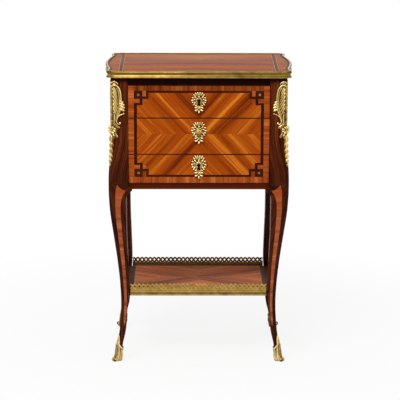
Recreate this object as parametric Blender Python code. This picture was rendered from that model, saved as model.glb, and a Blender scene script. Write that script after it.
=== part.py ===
"""Small chiffonier table: a three-drawer case on cabriole legs, with a low galleried shelf.

Metres, +Z up, the front of the table faces -Y. The origin lies on the floor under the middle of the
table. Every piece is a closed solid of its own, and a fitted joint keeps CLEARANCE between its faces.
"""
from math import acos, cos, floor, pi, radians, sin, sqrt

import bmesh
import bpy
from mathutils import Matrix, Vector
from mathutils.geometry import delaunay_2d_cdt

# Fits
CLEARANCE = 0.0003
SABOT_FIT = 0.0005
FRONT_GAP = 0.0006
SIDE_GAP = 0.0007
BACK_GAP = 0.004
CUT_MARGIN = 0.002

# Case, from the floor up
CASE_WIDTH = 0.420
CASE_DEPTH = 0.300
LEG_LENGTH = 0.438
APRON_HEIGHT = 0.0146
LOWER_DRAWER_HEIGHT = 0.0709
MIDDLE_DRAWER_HEIGHT = 0.088
UPPER_DRAWER_HEIGHT = 0.0788
TOP_RAIL_HEIGHT = 0.0174
STILE_WIDTH = 0.041
SIDE_THICKNESS = 0.012
BACK_THICKNESS = 0.010
RAIL_THICKNESS = 0.034
APRON_THICKNESS = 0.016
DUST_THICKNESS = 0.009
GUIDE_HEIGHT = 0.012

# Legs: the knee swells outward, the shaft draws in to the ankle and turns out again at the foot
KNEE_SWELL = 0.0068
FLARE_START = 0.017
FLARE_HEIGHT = 0.115
BRACKET_REACH = 0.012
BRACKET_DROP = 0.018
STILE_CANT = 0.007
ARRIS = 0.001
# Stations up the leg: share of its length, then there the outer faces' outward set, the width and the cant
LEG_SHARES = (0.0, 0.100, 0.180, 0.317, 0.445, 0.587, 0.728, 0.865, 0.960)
LEG_OUTWARD = (-0.0045, -0.0105, -0.0162, -0.0201, -0.0183, -0.0124, -0.0044, 0.0035, 0.0064)
LEG_WIDTH = (0.0155, 0.0137, 0.0156, 0.0159, 0.0217, 0.0261, 0.0318, 0.0392, 0.0428)
LEG_CANT = (0.0040, 0.0040, 0.0040, 0.0040, 0.0044, 0.0050, 0.0058, 0.0065, 0.0070)
# Rings of a leg: steps in the foot, the shaft and the flare, and shares of the bracket's drop
FOOT_STEPS = 7
SHAFT_STEPS = 16
FLARE_STEPS = 7
BRACKET_SHARES = (0.9, 0.65, 0.4, 0.15, 0.0)

# Top: straight front and back, canted ears at the corners, sides that swell between two notches
TOP_OVERHANG = 0.010
EAR_CANT_X = 0.022
EAR_CANT_Y = 0.013
EAR_LENGTH = 0.052
NOTCH_DEPTH = 0.003
SIDE_SWELL = 0.011
RIM_HEIGHT = 0.017
RIM_THICKNESS = 0.006
RIM_LIP = 0.0022
SWELL_STEPS = 14
# Moulding of the rim: share of its thickness in from the outer plan, share of its height
RIM_SHARES = (
    (1.00, 0.00),
    (0.15, 0.00),
    (0.00, 0.07),
    (0.00, 0.24),
    (0.24, 0.31),
    (0.42, 0.48),
    (0.30, 0.66),
    (0.12, 0.74),
    (0.08, 0.90),
    (0.28, 1.00),
    (0.80, 1.00),
    (1.00, 0.93),
)

# Shelf and its pierced gallery
SHELF_HEIGHT = 0.1645
BAND_HEIGHT = 0.0105
GALLERY_HEIGHT = 0.0196
GALLERY_THICKNESS = 0.0022
GALLERY_PITCH = 0.0108
GALLERY_BAR = 0.0028
GALLERY_SILL = 0.0066
STRAND_LIFT = 0.0006
# Places along a strand, from its crown at 0 to its foot at 1
CROWN_TURN = 0.15
HAUNCH_TURN = 0.24
BEND_REACH = 0.02
NET_MERGE = 1e-6
GALLERY_SETBACK = 0.003
GALLERY_RETURN = 0.007
SHELF_DROP = 0.0008
HALVINGS = 40
LEVELS_AT_SHELF = 5

# Drawers
DRAWER_FRONT = 0.018
DRAWER_LIP = 0.009
DRAWER_WALL = 0.008
DRAWER_BOTTOM = 0.005
BOTTOM_RISE = 0.004
GROOVE_DEPTH = 0.003
WALL_DROP = 0.004

# Locks and keyhole plates
LOCK_WIDTH = 0.044
LOCK_THICKNESS = 0.009
LOCK_BELOW_KEYHOLE = 0.015
LOCK_PLATE = 0.001
BOLT_WIDTH = 0.016
BOLT_THICKNESS = 0.003
BOLT_LENGTH = 0.014
BOLT_TRAVEL = 0.007
BOLT_FIT = 0.0004
KEYHOLE_ROUND = 0.0088
KEYHOLE_SLOT = 0.0050
KEYHOLE_FLARE = 0.0078
KEYHOLE_HEIGHT = 0.0166
KEYHOLE_LOCK_DEPTH = 0.004
KEYHOLE_STEPS = 8
PLATE_WIDTH = 0.038
PLATE_EDGE = 0.0012
PLATE_CROWN = 0.0030
PLATE_BORDER = 0.0045
PLATE_STEPS = 36
# Lobes of a plate's outline, as shares of its half size: six round, four on the diagonals, three hanging
PLATE_SIX = 0.07
PLATE_FOUR = 0.05
PLATE_THREE = 0.03
BOSS_SHARE = 0.5
BOSS_TOP_SHARE = 0.7
UPPER_PLATE_HEIGHT = 0.0517
MIDDLE_PLATE_HEIGHT = 0.0546
LOWER_PLATE_HEIGHT = 0.0590
UPPER_PLATE_RISE = -0.0020
MIDDLE_PLATE_RISE = 0.0085
LOWER_PLATE_RISE = 0.0045

# Foot mounts
SABOT_WALL = 0.0018
SABOT_SOLE = 0.004
SABOT_PEAK = 0.067
SABOT_FLANK = 0.043
SABOT_HEEL = 0.034
SOLE_ROUND = 0.003
TOE_FLARE = 0.0056
TOE_HEIGHT = 0.017
SABOT_SHARES = (0.0, 0.05, 0.12, 0.20, 0.32, 0.50, 0.75, 1.0)
# Points of a leg's outline, counted round from the heel
OUTLINE_COUNT = 12
HEEL_SPOTS = (0, 11)
FLANK_SPOTS = (4, 7)
PEAK_SPOTS = (5, 6)
TOE_SPOTS = (3, 4, 5, 6, 7, 8)

# Corner mounts
CHUTE_TOP_GAP = 0.006
CHUTE_LENGTH = 0.208
CHUTE_MARGIN = 0.005
CHUTE_EDGE = 0.0011
CHUTE_RELIEF = 0.0042
FOLD_SHARE = 0.96
# Cross section of the mount: share of its reach from the corner, share of its relief there
CHUTE_SECTION = (
    (1.0, 0.0),
    (0.78, 0.55),
    (0.42, 0.75),
    (0.0, 1.0),
    (-0.42, 0.75),
    (-0.78, 0.55),
    (-1.0, 0.0),
)
# Outline down the mount: share of its length, share of its widest half, share of its relief
CHUTE_SHARES = (
    (0.000, 0.30, 0.45),
    (0.030, 0.47, 0.85),
    (0.080, 0.55, 0.95),
    (0.140, 0.68, 0.75),
    (0.220, 0.80, 0.85),
    (0.300, 0.99, 0.90),
    (0.345, 1.00, 0.80),
    (0.395, 0.76, 0.65),
    (0.445, 0.54, 0.55),
    (0.490, 0.75, 0.70),
    (0.530, 0.58, 0.75),
    (0.570, 0.68, 1.00),
    (0.615, 0.55, 0.95),
    (0.665, 0.32, 0.60),
    (0.720, 0.30, 0.70),
    (0.760, 0.24, 0.50),
    (0.815, 0.26, 0.62),
    (0.860, 0.20, 0.45),
    (0.910, 0.21, 0.55),
    (0.945, 0.19, 0.45),
    (1.000, 0.12, 0.25),
)

# Shading: edges sharper than these angles stay crisp
WOOD_CREASE = 30
CAST_CREASE = 42

# Places worked out from the sizes
HALF_W = CASE_WIDTH / 2
HALF_D = CASE_DEPTH / 2
OPENING_HALF = HALF_W - STILE_WIDTH
SIDE_HALF = HALF_D - STILE_WIDTH
LOWER_Z = LEG_LENGTH + APRON_HEIGHT
MIDDLE_Z = LOWER_Z + LOWER_DRAWER_HEIGHT
UPPER_Z = MIDDLE_Z + MIDDLE_DRAWER_HEIGHT
RAIL_Z = UPPER_Z + UPPER_DRAWER_HEIGHT
CASE_TOP_Z = RAIL_Z + TOP_RAIL_HEIGHT
TOP_Z = CASE_TOP_Z + CLEARANCE
BACK_INNER_Y = HALF_D - BACK_THICKNESS
SHELF_TOP_Z = SHELF_HEIGHT + BAND_HEIGHT
GALLERY_TOP_Z = SHELF_TOP_Z + GALLERY_HEIGHT
CORNERS = {
    "front_left": (-1, -1),
    "front_right": (1, -1),
    "back_left": (-1, 1),
    "back_right": (1, 1),
}

# Finishes: colour, metallic, roughness
FINISHES = {
    "tulipwood": ((0.42, 0.13, 0.04), 0.0, 0.30),
    "amaranth": ((0.07, 0.02, 0.012), 0.0, 0.30),
    "oak": ((0.42, 0.26, 0.13), 0.0, 0.60),
    "gilt_bronze": ((0.62, 0.44, 0.17), 1.0, 0.35),
    "iron": ((0.16, 0.15, 0.14), 1.0, 0.50),
}


# Shared shape helpers


def clear_scene():
    """Removes whatever the open file holds."""
    for old in list(bpy.data.objects):
        bpy.data.objects.remove(old, do_unlink=True)


def finish_material(name):
    """One Principled material for each finish, made on first use."""
    material = bpy.data.materials.get(name)
    if material:
        return material
    colour, metallic, roughness = FINISHES[name]
    material = bpy.data.materials.new(name)
    material.use_nodes = True
    shader = material.node_tree.nodes["Principled BSDF"]
    shader.inputs["Base Color"].default_value = (*colour, 1.0)
    shader.inputs["Metallic"].default_value = metallic
    shader.inputs["Roughness"].default_value = roughness
    return material


def add_solid(name, points, faces, finish, smooth_angle=None):
    """Turns points and faces into a named object whose faces point out."""
    shape = bmesh.new()
    corners = [shape.verts.new(point) for point in points]
    for face in faces:
        shape.faces.new([corners[index] for index in face])
    bmesh.ops.recalc_face_normals(shape, faces=shape.faces)
    mesh = bpy.data.meshes.new(name)
    shape.to_mesh(mesh)
    shape.free()
    if smooth_angle:
        mesh.shade_smooth()
        mesh.set_sharp_from_angle(angle=radians(smooth_angle))
    mesh.materials.append(finish_material(finish))
    solid = bpy.data.objects.new(name, mesh)
    bpy.context.collection.objects.link(solid)
    return solid


def loft(name, rings, finish, smooth_angle=None):
    """Skins rings of equally many points and closes both ends."""
    count = len(rings[0])
    points = [point for ring in rings for point in ring]
    faces = []
    for level in range(len(rings) - 1):
        low = level * count
        high = low + count
        for here in range(count):
            after = (here + 1) % count
            faces.append((low + here, low + after, high + after, high + here))
    faces.append(tuple(range(count)))
    faces.append(tuple(range(len(points) - count, len(points))))
    return add_solid(name, points, faces, finish, smooth_angle)


def block(name, low, high, finish):
    """A board between two corners."""
    ring_low = [
        (low[0], low[1], low[2]),
        (high[0], low[1], low[2]),
        (high[0], high[1], low[2]),
        (low[0], high[1], low[2]),
    ]
    ring_high = [(x, y, high[2]) for x, y, z in ring_low]
    return loft(name, [ring_low, ring_high], finish)


def thick_sheet(name, flat_points, flat_faces, place, finish):
    """Gives a flat net of faces a thickness: place turns (along, up, side 0 or 1) into a point in space."""
    other = len(flat_points)
    points = [place(along, up, 0) for along, up in flat_points]
    points += [place(along, up, 1) for along, up in flat_points]
    faces = list(flat_faces)
    faces += [tuple(index + other for index in reversed(face)) for face in flat_faces]
    sides = [(face[spot - 1], face[spot]) for face in flat_faces for spot in range(len(face))]
    shared = set(sides)
    for start, end in sides:
        if (end, start) not in shared:
            faces.append((end, start, start + other, end + other))
    return add_solid(name, points, faces, finish)


def cut(solid, cutter):
    """Takes the cutter's shape out of a solid and hides the cutter."""
    modifier = solid.modifiers.new("cut", "BOOLEAN")
    modifier.operation = "DIFFERENCE"
    modifier.solver = "EXACT"
    modifier.object = cutter
    cutter.hide_render = True
    cutter.display_type = "WIRE"


def carry(solid, empty):
    """Hangs a piece on the empty that marks its slide, leaving it in place."""
    solid.parent = empty
    solid.matrix_parent_inverse = Matrix.Translation(-Vector(empty.location))


def slide_marker(name, location, parent=None):
    """An empty on the line that a moving piece slides along."""
    marker = bpy.data.objects.new(name, None)
    marker.location = location
    bpy.context.collection.objects.link(marker)
    if parent:
        carry(marker, parent)
        marker.location = location
    return marker


def smooth_through(stations, share):
    """Values at a share of the length, on a smooth curve through stations sorted by share."""
    last = len(stations) - 1
    spot = 0
    while spot < last - 1 and share > stations[spot + 1][0]:
        spot += 1
    before = stations[max(spot - 1, 0)]
    here = stations[spot]
    after = stations[spot + 1]
    beyond = stations[min(spot + 2, last)]
    span = after[0] - here[0]
    t = (share - here[0]) / span
    values = []
    for column in range(1, len(here)):
        slope_here = (after[column] - before[column]) / (after[0] - before[0]) * span
        slope_after = (beyond[column] - here[column]) / (beyond[0] - here[0]) * span
        change = after[column] - here[column]
        bend = 3 * change - 2 * slope_here - slope_after
        twist = slope_here + slope_after - 2 * change
        values.append(here[column] + t * (slope_here + t * (bend + t * twist)))
    return values


# Legs


def leg_measures(z):
    """Outward set, width and canted corner of a leg at a height, stile included."""
    if z >= LEG_LENGTH:
        rise = min(max((z - LEG_LENGTH - FLARE_START) / FLARE_HEIGHT, 0.0), 1.0)
        outward = KNEE_SWELL * (1 + cos(pi * rise)) / 2
        return outward, STILE_WIDTH + outward, STILE_CANT
    stations = list(zip(LEG_SHARES, LEG_OUTWARD, LEG_WIDTH, LEG_CANT))
    stations.append((1.0, KNEE_SWELL, STILE_WIDTH + KNEE_SWELL, STILE_CANT))
    outward, width, cant = smooth_through(stations, z / LEG_LENGTH)
    rise = max(1 - (LEG_LENGTH - z) / BRACKET_DROP, 0.0)
    return outward, width + BRACKET_REACH * rise * sqrt(rise), cant


def leg_outline(z, grow=0.0):
    """Plan of one leg about its case corner, outward positive on both axes, twelve points."""
    outward, width, cant = leg_measures(z)
    inner = outward - width - grow
    outer = outward + grow
    cant_end = outer - cant
    middle = (inner + cant_end) / 2
    return [
        (inner + ARRIS, inner),
        (middle, inner),
        (outer - ARRIS, inner),
        (outer, inner + ARRIS),
        (outer, middle),
        (outer, cant_end),
        (cant_end, outer),
        (middle, outer),
        (inner + ARRIS, outer),
        (inner, outer - ARRIS),
        (inner, middle),
        (inner, inner + ARRIS),
    ]


def corner_point(signs, out_x, out_y, z):
    """A point set out from one corner of the case."""
    return (signs[0] * (HALF_W + out_x), signs[1] * (HALF_D + out_y), z)


def flare_heights():
    """Levels at which the curve from the knee up to the straight stile is laid out."""
    start = LEG_LENGTH + FLARE_START
    return [start + FLARE_HEIGHT * step / FLARE_STEPS for step in range(FLARE_STEPS + 1)]


def leg_heights():
    """Levels of a leg's rings: few on the straight stile, closer where it bends."""
    foot = SABOT_SOLE + SABOT_FIT
    heights = [foot + (SABOT_PEAK - foot) * step / FOOT_STEPS for step in range(FOOT_STEPS + 1)]
    shaft = LEG_LENGTH - BRACKET_DROP - SABOT_PEAK
    heights += [SABOT_PEAK + shaft * step / SHAFT_STEPS for step in range(1, SHAFT_STEPS + 1)]
    heights += [LEG_LENGTH - BRACKET_DROP * share for share in BRACKET_SHARES]
    heights.append(LEG_LENGTH - CLEARANCE)
    heights += flare_heights()
    heights.append(CASE_TOP_Z)
    return sorted(heights)


def make_legs():
    """Four cabriole legs, each one piece with its stile."""
    for corner, signs in CORNERS.items():
        rings = []
        for z in leg_heights():
            rings.append([corner_point(signs, u, v, z) for u, v in leg_outline(z)])
        loft("leg_" + corner, rings, "amaranth", WOOD_CREASE)


def sabot_top(spot):
    """Height of a foot mount's upper edge at one point of the leg's outline."""
    if spot in PEAK_SPOTS:
        return SABOT_PEAK
    if spot in FLANK_SPOTS:
        return SABOT_FLANK
    if spot in HEEL_SPOTS:
        return SABOT_HEEL
    return (SABOT_FLANK + SABOT_HEEL) / 2


def toe_flare(spot, z):
    """How far the toe turns out at a point: none at the heel, most a little above the floor."""
    if spot not in TOE_SPOTS:
        return 0.0, 0.0
    flare = TOE_FLARE * sin(pi * (1 + 3 * min(z / TOE_HEIGHT, 1.0)) / 4)
    faces_x = spot <= PEAK_SPOTS[1]
    faces_y = spot >= PEAK_SPOTS[0]
    return flare * faces_x, flare * faces_y


def sole_inset(z):
    """How far the foot mount is rounded in where it meets the floor."""
    below = max(1 - z / SOLE_ROUND, 0.0)
    return SOLE_ROUND * (1 - sqrt(1 - below ** 2))


def make_sabots():
    """Foot mounts: cups round the legs' ends, peaked on the outer corner, with a toe turned out."""
    for corner, signs in CORNERS.items():
        rings = []
        for share in SABOT_SHARES:
            ring = []
            for spot in range(OUTLINE_COUNT):
                z = sabot_top(spot) * share
                u, v = leg_outline(z, SABOT_FIT + SABOT_WALL - sole_inset(z))[spot]
                out_x, out_y = toe_flare(spot, z)
                ring.append(corner_point(signs, u + out_x, v + out_y, z))
            rings.append(ring)
        for share in reversed(SABOT_SHARES):
            ring = []
            for spot in range(OUTLINE_COUNT):
                z = SABOT_SOLE + (sabot_top(spot) - SABOT_SOLE) * share
                u, v = leg_outline(z, SABOT_FIT)[spot]
                ring.append(corner_point(signs, u, v, z))
            rings.append(ring)
        loft("sabot_" + corner, rings, "gilt_bronze", CAST_CREASE)


# Carcass


def make_sides():
    """Side panels between the stiles: flat inside, outside curved as the stiles are."""
    heights = [LEG_LENGTH] + flare_heights() + [CASE_TOP_Z]
    inner = HALF_W - SIDE_THICKNESS
    outline = [(HALF_W + leg_measures(z)[0], z) for z in heights]
    outline += [(inner, CASE_TOP_Z), (inner, LEG_LENGTH)]
    reach = SIDE_HALF - CLEARANCE
    for side, sign in (("left", -1), ("right", 1)):
        front = [(sign * x, -reach, z) for x, z in outline]
        back = [(sign * x, reach, z) for x, z in outline]
        loft("side_panel_" + side, [front, back], "tulipwood", WOOD_CREASE)


def make_back():
    """Back panel between the rear stiles."""
    reach = OPENING_HALF - CLEARANCE
    block("back_panel", (-reach, BACK_INNER_Y, LEG_LENGTH), (reach, HALF_D, CASE_TOP_Z), "tulipwood")


def make_rails():
    """Front rail under the top, with the lock's mortise, and the apron rail under the drawers."""
    reach = OPENING_HALF - CLEARANCE
    rail_back = RAIL_THICKNESS - HALF_D
    rail = block("front_top_rail", (-reach, -HALF_D, RAIL_Z), (reach, rail_back, CASE_TOP_Z), "amaranth")
    bolt_low, bolt_high = bolt_box(RAIL_Z - FRONT_GAP)
    mortise_low = [bolt_low[0] - BOLT_FIT, bolt_low[1] - BOLT_FIT, RAIL_Z - CUT_MARGIN]
    mortise_high = [bolt_high[0] + BOLT_FIT, bolt_high[1] + BOLT_FIT, RAIL_Z + BOLT_TRAVEL + CLEARANCE]
    cut(rail, block("cutter_rail_mortise", mortise_low, mortise_high, "iron"))
    apron_back = APRON_THICKNESS - HALF_D
    block("front_apron", (-reach, -HALF_D, LEG_LENGTH), (reach, apron_back, LOWER_Z), "amaranth")


def make_dust_boards():
    """Boards that carry the drawers: the case bottom and the two between the drawers."""
    reach = OPENING_HALF - CLEARANCE
    back = BACK_INNER_Y - CLEARANCE
    front = DRAWER_LIP + CLEARANCE - HALF_D
    half = DUST_THICKNESS / 2
    block("dust_board_upper", (-reach, front, UPPER_Z - half), (reach, back, UPPER_Z + half), "oak")
    lower = block("dust_board_lower", (-reach, front, MIDDLE_Z - half), (reach, back, MIDDLE_Z + half), "oak")
    bolt_low, bolt_high = bolt_box(MIDDLE_Z - half - CLEARANCE)
    mortise_low = [bolt_low[0] - BOLT_FIT, bolt_low[1] - BOLT_FIT, MIDDLE_Z - half - CUT_MARGIN]
    mortise_high = [bolt_high[0] + BOLT_FIT, bolt_high[1] + BOLT_FIT, MIDDLE_Z + half + CUT_MARGIN]
    cut(lower, block("cutter_dust_mortise", mortise_low, mortise_high, "iron"))
    bottom_front = APRON_THICKNESS + CLEARANCE - HALF_D
    block("case_bottom", (-reach, bottom_front, LOWER_Z - half), (reach, back, LOWER_Z + half), "oak")


def make_guides():
    """Strips on the side panels that keep each drawer straight."""
    inner = OPENING_HALF
    outer = HALF_W - SIDE_THICKNESS - CLEARANCE
    reach = SIDE_HALF - CLEARANCE
    for level, base in (("lower", LOWER_Z), ("middle", MIDDLE_Z), ("upper", UPPER_Z)):
        low = base + DUST_THICKNESS / 2
        for side, sign in (("left", -1), ("right", 1)):
            near, far = sorted((sign * inner, sign * outer))
            block("guide_%s_%s" % (level, side), (near, -reach, low), (far, reach, low + GUIDE_HEIGHT), "oak")


# Top


def top_plan():
    """Outer plan of the rim in two halves, right and left, each from ear to ear, as (x, y) points."""
    ear_x = HALF_W + TOP_OVERHANG
    edge_y = HALF_D + TOP_OVERHANG
    notch_y = edge_y - EAR_LENGTH
    notch_x = ear_x - NOTCH_DEPTH
    cant_start = (ear_x - EAR_CANT_X, -edge_y)
    ear = (ear_x, EAR_CANT_Y - edge_y)
    side = []
    for step in range(SWELL_STEPS + 1):
        share = step / SWELL_STEPS
        side.append((notch_x + SIDE_SWELL * sin(pi * share), notch_y * (2 * share - 1)))
    right = [cant_start, ear] + side
    right += [(ear[0], -ear[1]), (cant_start[0], -cant_start[1])]
    left = [(-x, y) for x, y in reversed(right)]
    return right, left


def set_in(path, distance, closed):
    """Moves a plan path inward (to its left) with mitred corners."""
    count = len(path)
    moved = []
    for spot in range(count):
        here = Vector(path[spot])
        before = Vector(path[spot - 1]) if closed or spot > 0 else None
        after = Vector(path[(spot + 1) % count]) if closed or spot < count - 1 else None
        normals = []
        for start, end in ((before, here), (here, after)):
            if start is not None and end is not None:
                run = (end - start).normalized()
                normals.append(Vector((-run.y, run.x)))
        mitre = sum(normals, Vector((0, 0))).normalized()
        moved.append(here + mitre * distance / mitre.dot(normals[0]))
    return moved


def make_rim():
    """Gilt rim in four lengths that meet on the canted ears."""
    right, left = top_plan()
    whole = right + left
    plan = [Vector(point) for point in whole]
    half = len(right)

    def joint(start, end, towards_end):
        """The point where two lengths meet on a canted ear, with half the gap taken off."""
        middle = (start + end) / 2
        return middle + (end - start).normalized() * (CLEARANCE / 2 if towards_end else -CLEARANCE / 2)

    front_right = (plan[0], plan[1])
    back_right = (plan[half - 2], plan[half - 1])
    back_left = (plan[half], plan[half + 1])
    front_left = (plan[-2], plan[-1])
    lengths = {
        "right": [joint(*front_right, True)] + plan[1:half - 1] + [joint(*back_right, False)],
        "back": [joint(*back_right, True), plan[half - 1], plan[half], joint(*back_left, False)],
        "left": [joint(*back_left, True)] + plan[half + 1:-1] + [joint(*front_left, False)],
        "front": [joint(*front_left, True), plan[-1], plan[0], joint(*front_right, False)],
    }
    profile = [(RIM_THICKNESS * inset, RIM_HEIGHT * rise) for inset, rise in RIM_SHARES]
    for side, path in lengths.items():
        moved = [set_in(path, inset, closed=False) for inset, rise in profile]
        rings = []
        for spot in range(len(path)):
            rings.append([(row[spot].x, row[spot].y, TOP_Z + step[1]) for row, step in zip(moved, profile)])
        loft("top_rim_" + side, rings, "gilt_bronze", CAST_CREASE)


def make_top():
    """Veneered board inside the rim."""
    right, left = top_plan()
    edge = set_in(right + left, RIM_THICKNESS + CLEARANCE, closed=True)
    surface = TOP_Z + RIM_HEIGHT - RIM_LIP
    loft("table_top", [[(p.x, p.y, TOP_Z) for p in edge], [(p.x, p.y, surface) for p in edge]], "tulipwood")


# Shelf


def leg_faces(low, high):
    """Tightest inner and outer set of a leg's faces between two heights."""
    gaps = LEVELS_AT_SHELF - 1
    levels = [low + (high - low) * step / gaps for step in range(LEVELS_AT_SHELF)]
    measures = [leg_measures(z) for z in levels]
    inner = min(outward - width for outward, width, cant in measures)
    outer = min(outward for outward, width, cant in measures)
    return inner, outer


def shelf_reach():
    """Half sizes of the shelf: to the legs' inner faces and to the gallery's outer faces."""
    inner, outer = leg_faces(SHELF_HEIGHT, GALLERY_TOP_Z)
    to_legs = (HALF_W + inner - CLEARANCE, HALF_D + inner - CLEARANCE)
    to_face = (HALF_W + outer - GALLERY_SETBACK, HALF_D + outer - GALLERY_SETBACK)
    return to_legs, to_face


def make_shelf():
    """Shelf board, its corners cut round the legs and canted where the gallery turns in."""
    to_legs, to_face = shelf_reach()
    step_in = GALLERY_THICKNESS + CLEARANCE
    edge = (to_face[0] - step_in, to_face[1] - step_in)
    cant = GALLERY_RETURN + step_in * (sqrt(2) - 1)
    quarter = [
        (to_legs[0] - cant, edge[1]),
        (to_legs[0], edge[1] - cant),
        (to_legs[0], to_legs[1]),
        (edge[0] - cant, to_legs[1]),
        (edge[0], to_legs[1] - cant),
    ]
    outline = quarter + [(x, -y) for x, y in reversed(quarter)]
    outline += [(-x, -y) for x, y in quarter]
    outline += [(-x, y) for x, y in reversed(quarter)]
    low = [(x, y, SHELF_HEIGHT) for x, y in outline]
    high = [(x, y, SHELF_TOP_Z - SHELF_DROP) for x, y in outline]
    loft("shelf_board", [low, high], "tulipwood")


def strand_edge(turn, side, rise, pitch):
    """A point on the upper (1) or under (-1) side of a strand, along from its crown and up from its foot."""
    slope = -pi * rise / (2 * pitch) * sin(pi * turn)
    reach = side * GALLERY_BAR / 2 / sqrt(1 + slope ** 2)
    return turn * pitch - slope * reach, rise * (1 + cos(pi * turn)) / 2 + reach


def turn_where(measure):
    """The place along a strand at which a measure that falls reaches nought."""
    low, high = 0.0, 1.0
    for halving in range(HALVINGS):
        middle = (low + high) / 2
        if measure(middle) > 0:
            low = middle
        else:
            high = middle
    return low


def gallery_net(straight):
    """Flat net of one length: two interlaced strands on a plain band, one wave on each turned-in end."""
    count = max(floor(2 * straight / GALLERY_PITCH + 0.5), 2)
    pitch = 2 * straight / count
    foot = GALLERY_SILL + STRAND_LIFT
    rise = GALLERY_HEIGHT - GALLERY_BAR / 2 - foot

    def over(turn):
        return strand_edge(turn, 1, rise, pitch)

    def under(turn):
        return strand_edge(turn, -1, rise, pitch)

    crown = under(CROWN_TURN)
    tip = under(turn_where(lambda turn: under(turn)[1] - rise / 2))
    apex = under(turn_where(lambda turn: pitch / 2 - under(turn)[0]))
    base = under(turn_where(lambda turn: under(turn)[1] + STRAND_LIFT))
    haunch = over(HAUNCH_TURN)
    dip = over(turn_where(lambda turn: pitch / 2 - over(turn)[0]))
    edges = [pitch * (number - count / 2) for number in range(-1, count + 2)]
    crest = []
    openings = []
    for left, right in zip(edges, edges[1:]):
        middle = (left + right) / 2
        # small pointed opening under the crossing of the two strands
        openings.append([
            (right - base[0], GALLERY_SILL),
            (left + base[0], GALLERY_SILL),
            (middle, foot + apex[1]),
        ])
        crest += [(left, GALLERY_HEIGHT), (left + haunch[0], foot + haunch[1])]
        crest += [(middle, foot + dip[1]), (right - haunch[0], foot + haunch[1])]
    for middle in edges[1:-1]:
        # lens between the crown of one strand and the foot of the other
        openings.append([
            (middle - crown[0], foot + crown[1]),
            (middle - tip[0], foot + rise / 2),
            (middle - crown[0], foot + rise - crown[1]),
            (middle + crown[0], foot + rise - crown[1]),
            (middle + tip[0], foot + rise / 2),
            (middle + crown[0], foot + crown[1]),
        ])
    crest.append((edges[-1], GALLERY_HEIGHT))
    ground = [(edge, 0.0) for edge in edges]
    loops = [ground + crest[::-1]] + openings
    flat = [Vector(point) for loop in loops for point in loop]
    borders = []
    for loop in loops:
        first = sum(len(border) for border in borders)
        borders.append(list(range(first, first + len(loop))))
    net, _, triangles, origins, _, inside = delaunay_2d_cdt(flat, [], borders, 1, NET_MERGE)
    faces = [tuple(triangle) for triangle, within in zip(triangles, inside) if within == [0]]
    points = [(point.x, SHELF_TOP_Z + point.y) for point in net]
    under_edge = len(points)
    points += [(edge, SHELF_HEIGHT) for edge in edges]
    place_of = {first[0]: spot for spot, first in enumerate(origins) if first}
    for spot in range(len(edges) - 1):
        faces.append((under_edge + spot, under_edge + spot + 1, place_of[spot + 1], place_of[spot]))
    return points, faces, pitch


def make_galleries():
    """Pierced gallery in four lengths, each turned in at its ends to meet the legs."""
    to_legs, to_face = shelf_reach()
    runs = {
        "front": (to_legs[0], to_face[1], 0),
        "right": (to_legs[1], to_face[0], 90),
        "back": (to_legs[0], to_face[1], 180),
        "left": (to_legs[1], to_face[0], 270),
    }
    for side, (reach, face, turn) in runs.items():
        straight = reach - GALLERY_RETURN
        points, faces, pitch = gallery_net(straight)
        about = Matrix.Rotation(radians(turn), 4, "Z")

        def place(along, up, inside):
            """Bends the flat net in at both ends; the end wave fills the turned-in stretch."""
            sign = 1 if along > 0 else -1
            past = max(abs(along) - straight, 0.0) / pitch * GALLERY_RETURN
            x = min(abs(along), straight) + past
            y = past - face
            at_bend = abs(abs(along) - straight) < pitch * BEND_REACH
            if inside and at_bend:
                x -= GALLERY_THICKNESS * (sqrt(2) - 1)
                y += GALLERY_THICKNESS
            elif inside and past:
                x -= GALLERY_THICKNESS / sqrt(2)
                y += GALLERY_THICKNESS / sqrt(2)
            elif inside:
                y += GALLERY_THICKNESS
            return about @ Vector((sign * x, y, up))

        thick_sheet("gallery_" + side, points, faces, place, "gilt_bronze")


# Drawers


def keyhole_outline(centre_z):
    """Keyhole seen from the front: a round head over a slot that widens at its foot."""
    radius = KEYHOLE_ROUND / 2
    slot = KEYHOLE_SLOT / 2
    flare = KEYHOLE_FLARE / 2
    top = centre_z + KEYHOLE_HEIGHT / 2 - radius
    foot = centre_z - KEYHOLE_HEIGHT / 2
    below = acos(slot / radius)
    neck = top - radius * sin(below)
    outline = [(-slot, neck), (-flare, foot), (flare, foot), (slot, neck)]
    for step in range(1, KEYHOLE_STEPS):
        angle = (pi + 2 * below) * step / KEYHOLE_STEPS - below
        outline.append((radius * cos(angle), top + radius * sin(angle)))
    return outline


def keyhole_cutter(name, centre_z, front, back):
    """A keyhole-shaped bar from front to back."""
    outline = keyhole_outline(centre_z)
    near = [(x, front, z) for x, z in outline]
    far = [(x, back, z) for x, z in outline]
    return loft(name, [near, far], "iron")


def bolt_box(top):
    """Corners of a lock's bolt at rest, its upper end level with the lock's upper edge."""
    back = DRAWER_FRONT - LOCK_PLATE - BOLT_FIT - HALF_D
    low = (-BOLT_WIDTH / 2, back - BOLT_THICKNESS, top - BOLT_LENGTH)
    high = (BOLT_WIDTH / 2, back, top)
    return low, high


def plate_outline(width, height):
    """Lobed outline of a keyhole plate about its own middle."""
    outline = []
    widest = 1 + PLATE_FOUR
    tallest = 1 + PLATE_SIX + PLATE_FOUR
    for step in range(PLATE_STEPS):
        angle = 2 * pi * step / PLATE_STEPS
        lobes = 1 - PLATE_SIX * cos(6 * angle) + PLATE_FOUR * cos(4 * angle) - PLATE_THREE * sin(3 * angle)
        x = width / 2 * lobes * cos(angle) / widest
        z = height / 2 * lobes * sin(angle) / tallest
        outline.append((x, z))
    return outline


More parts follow.
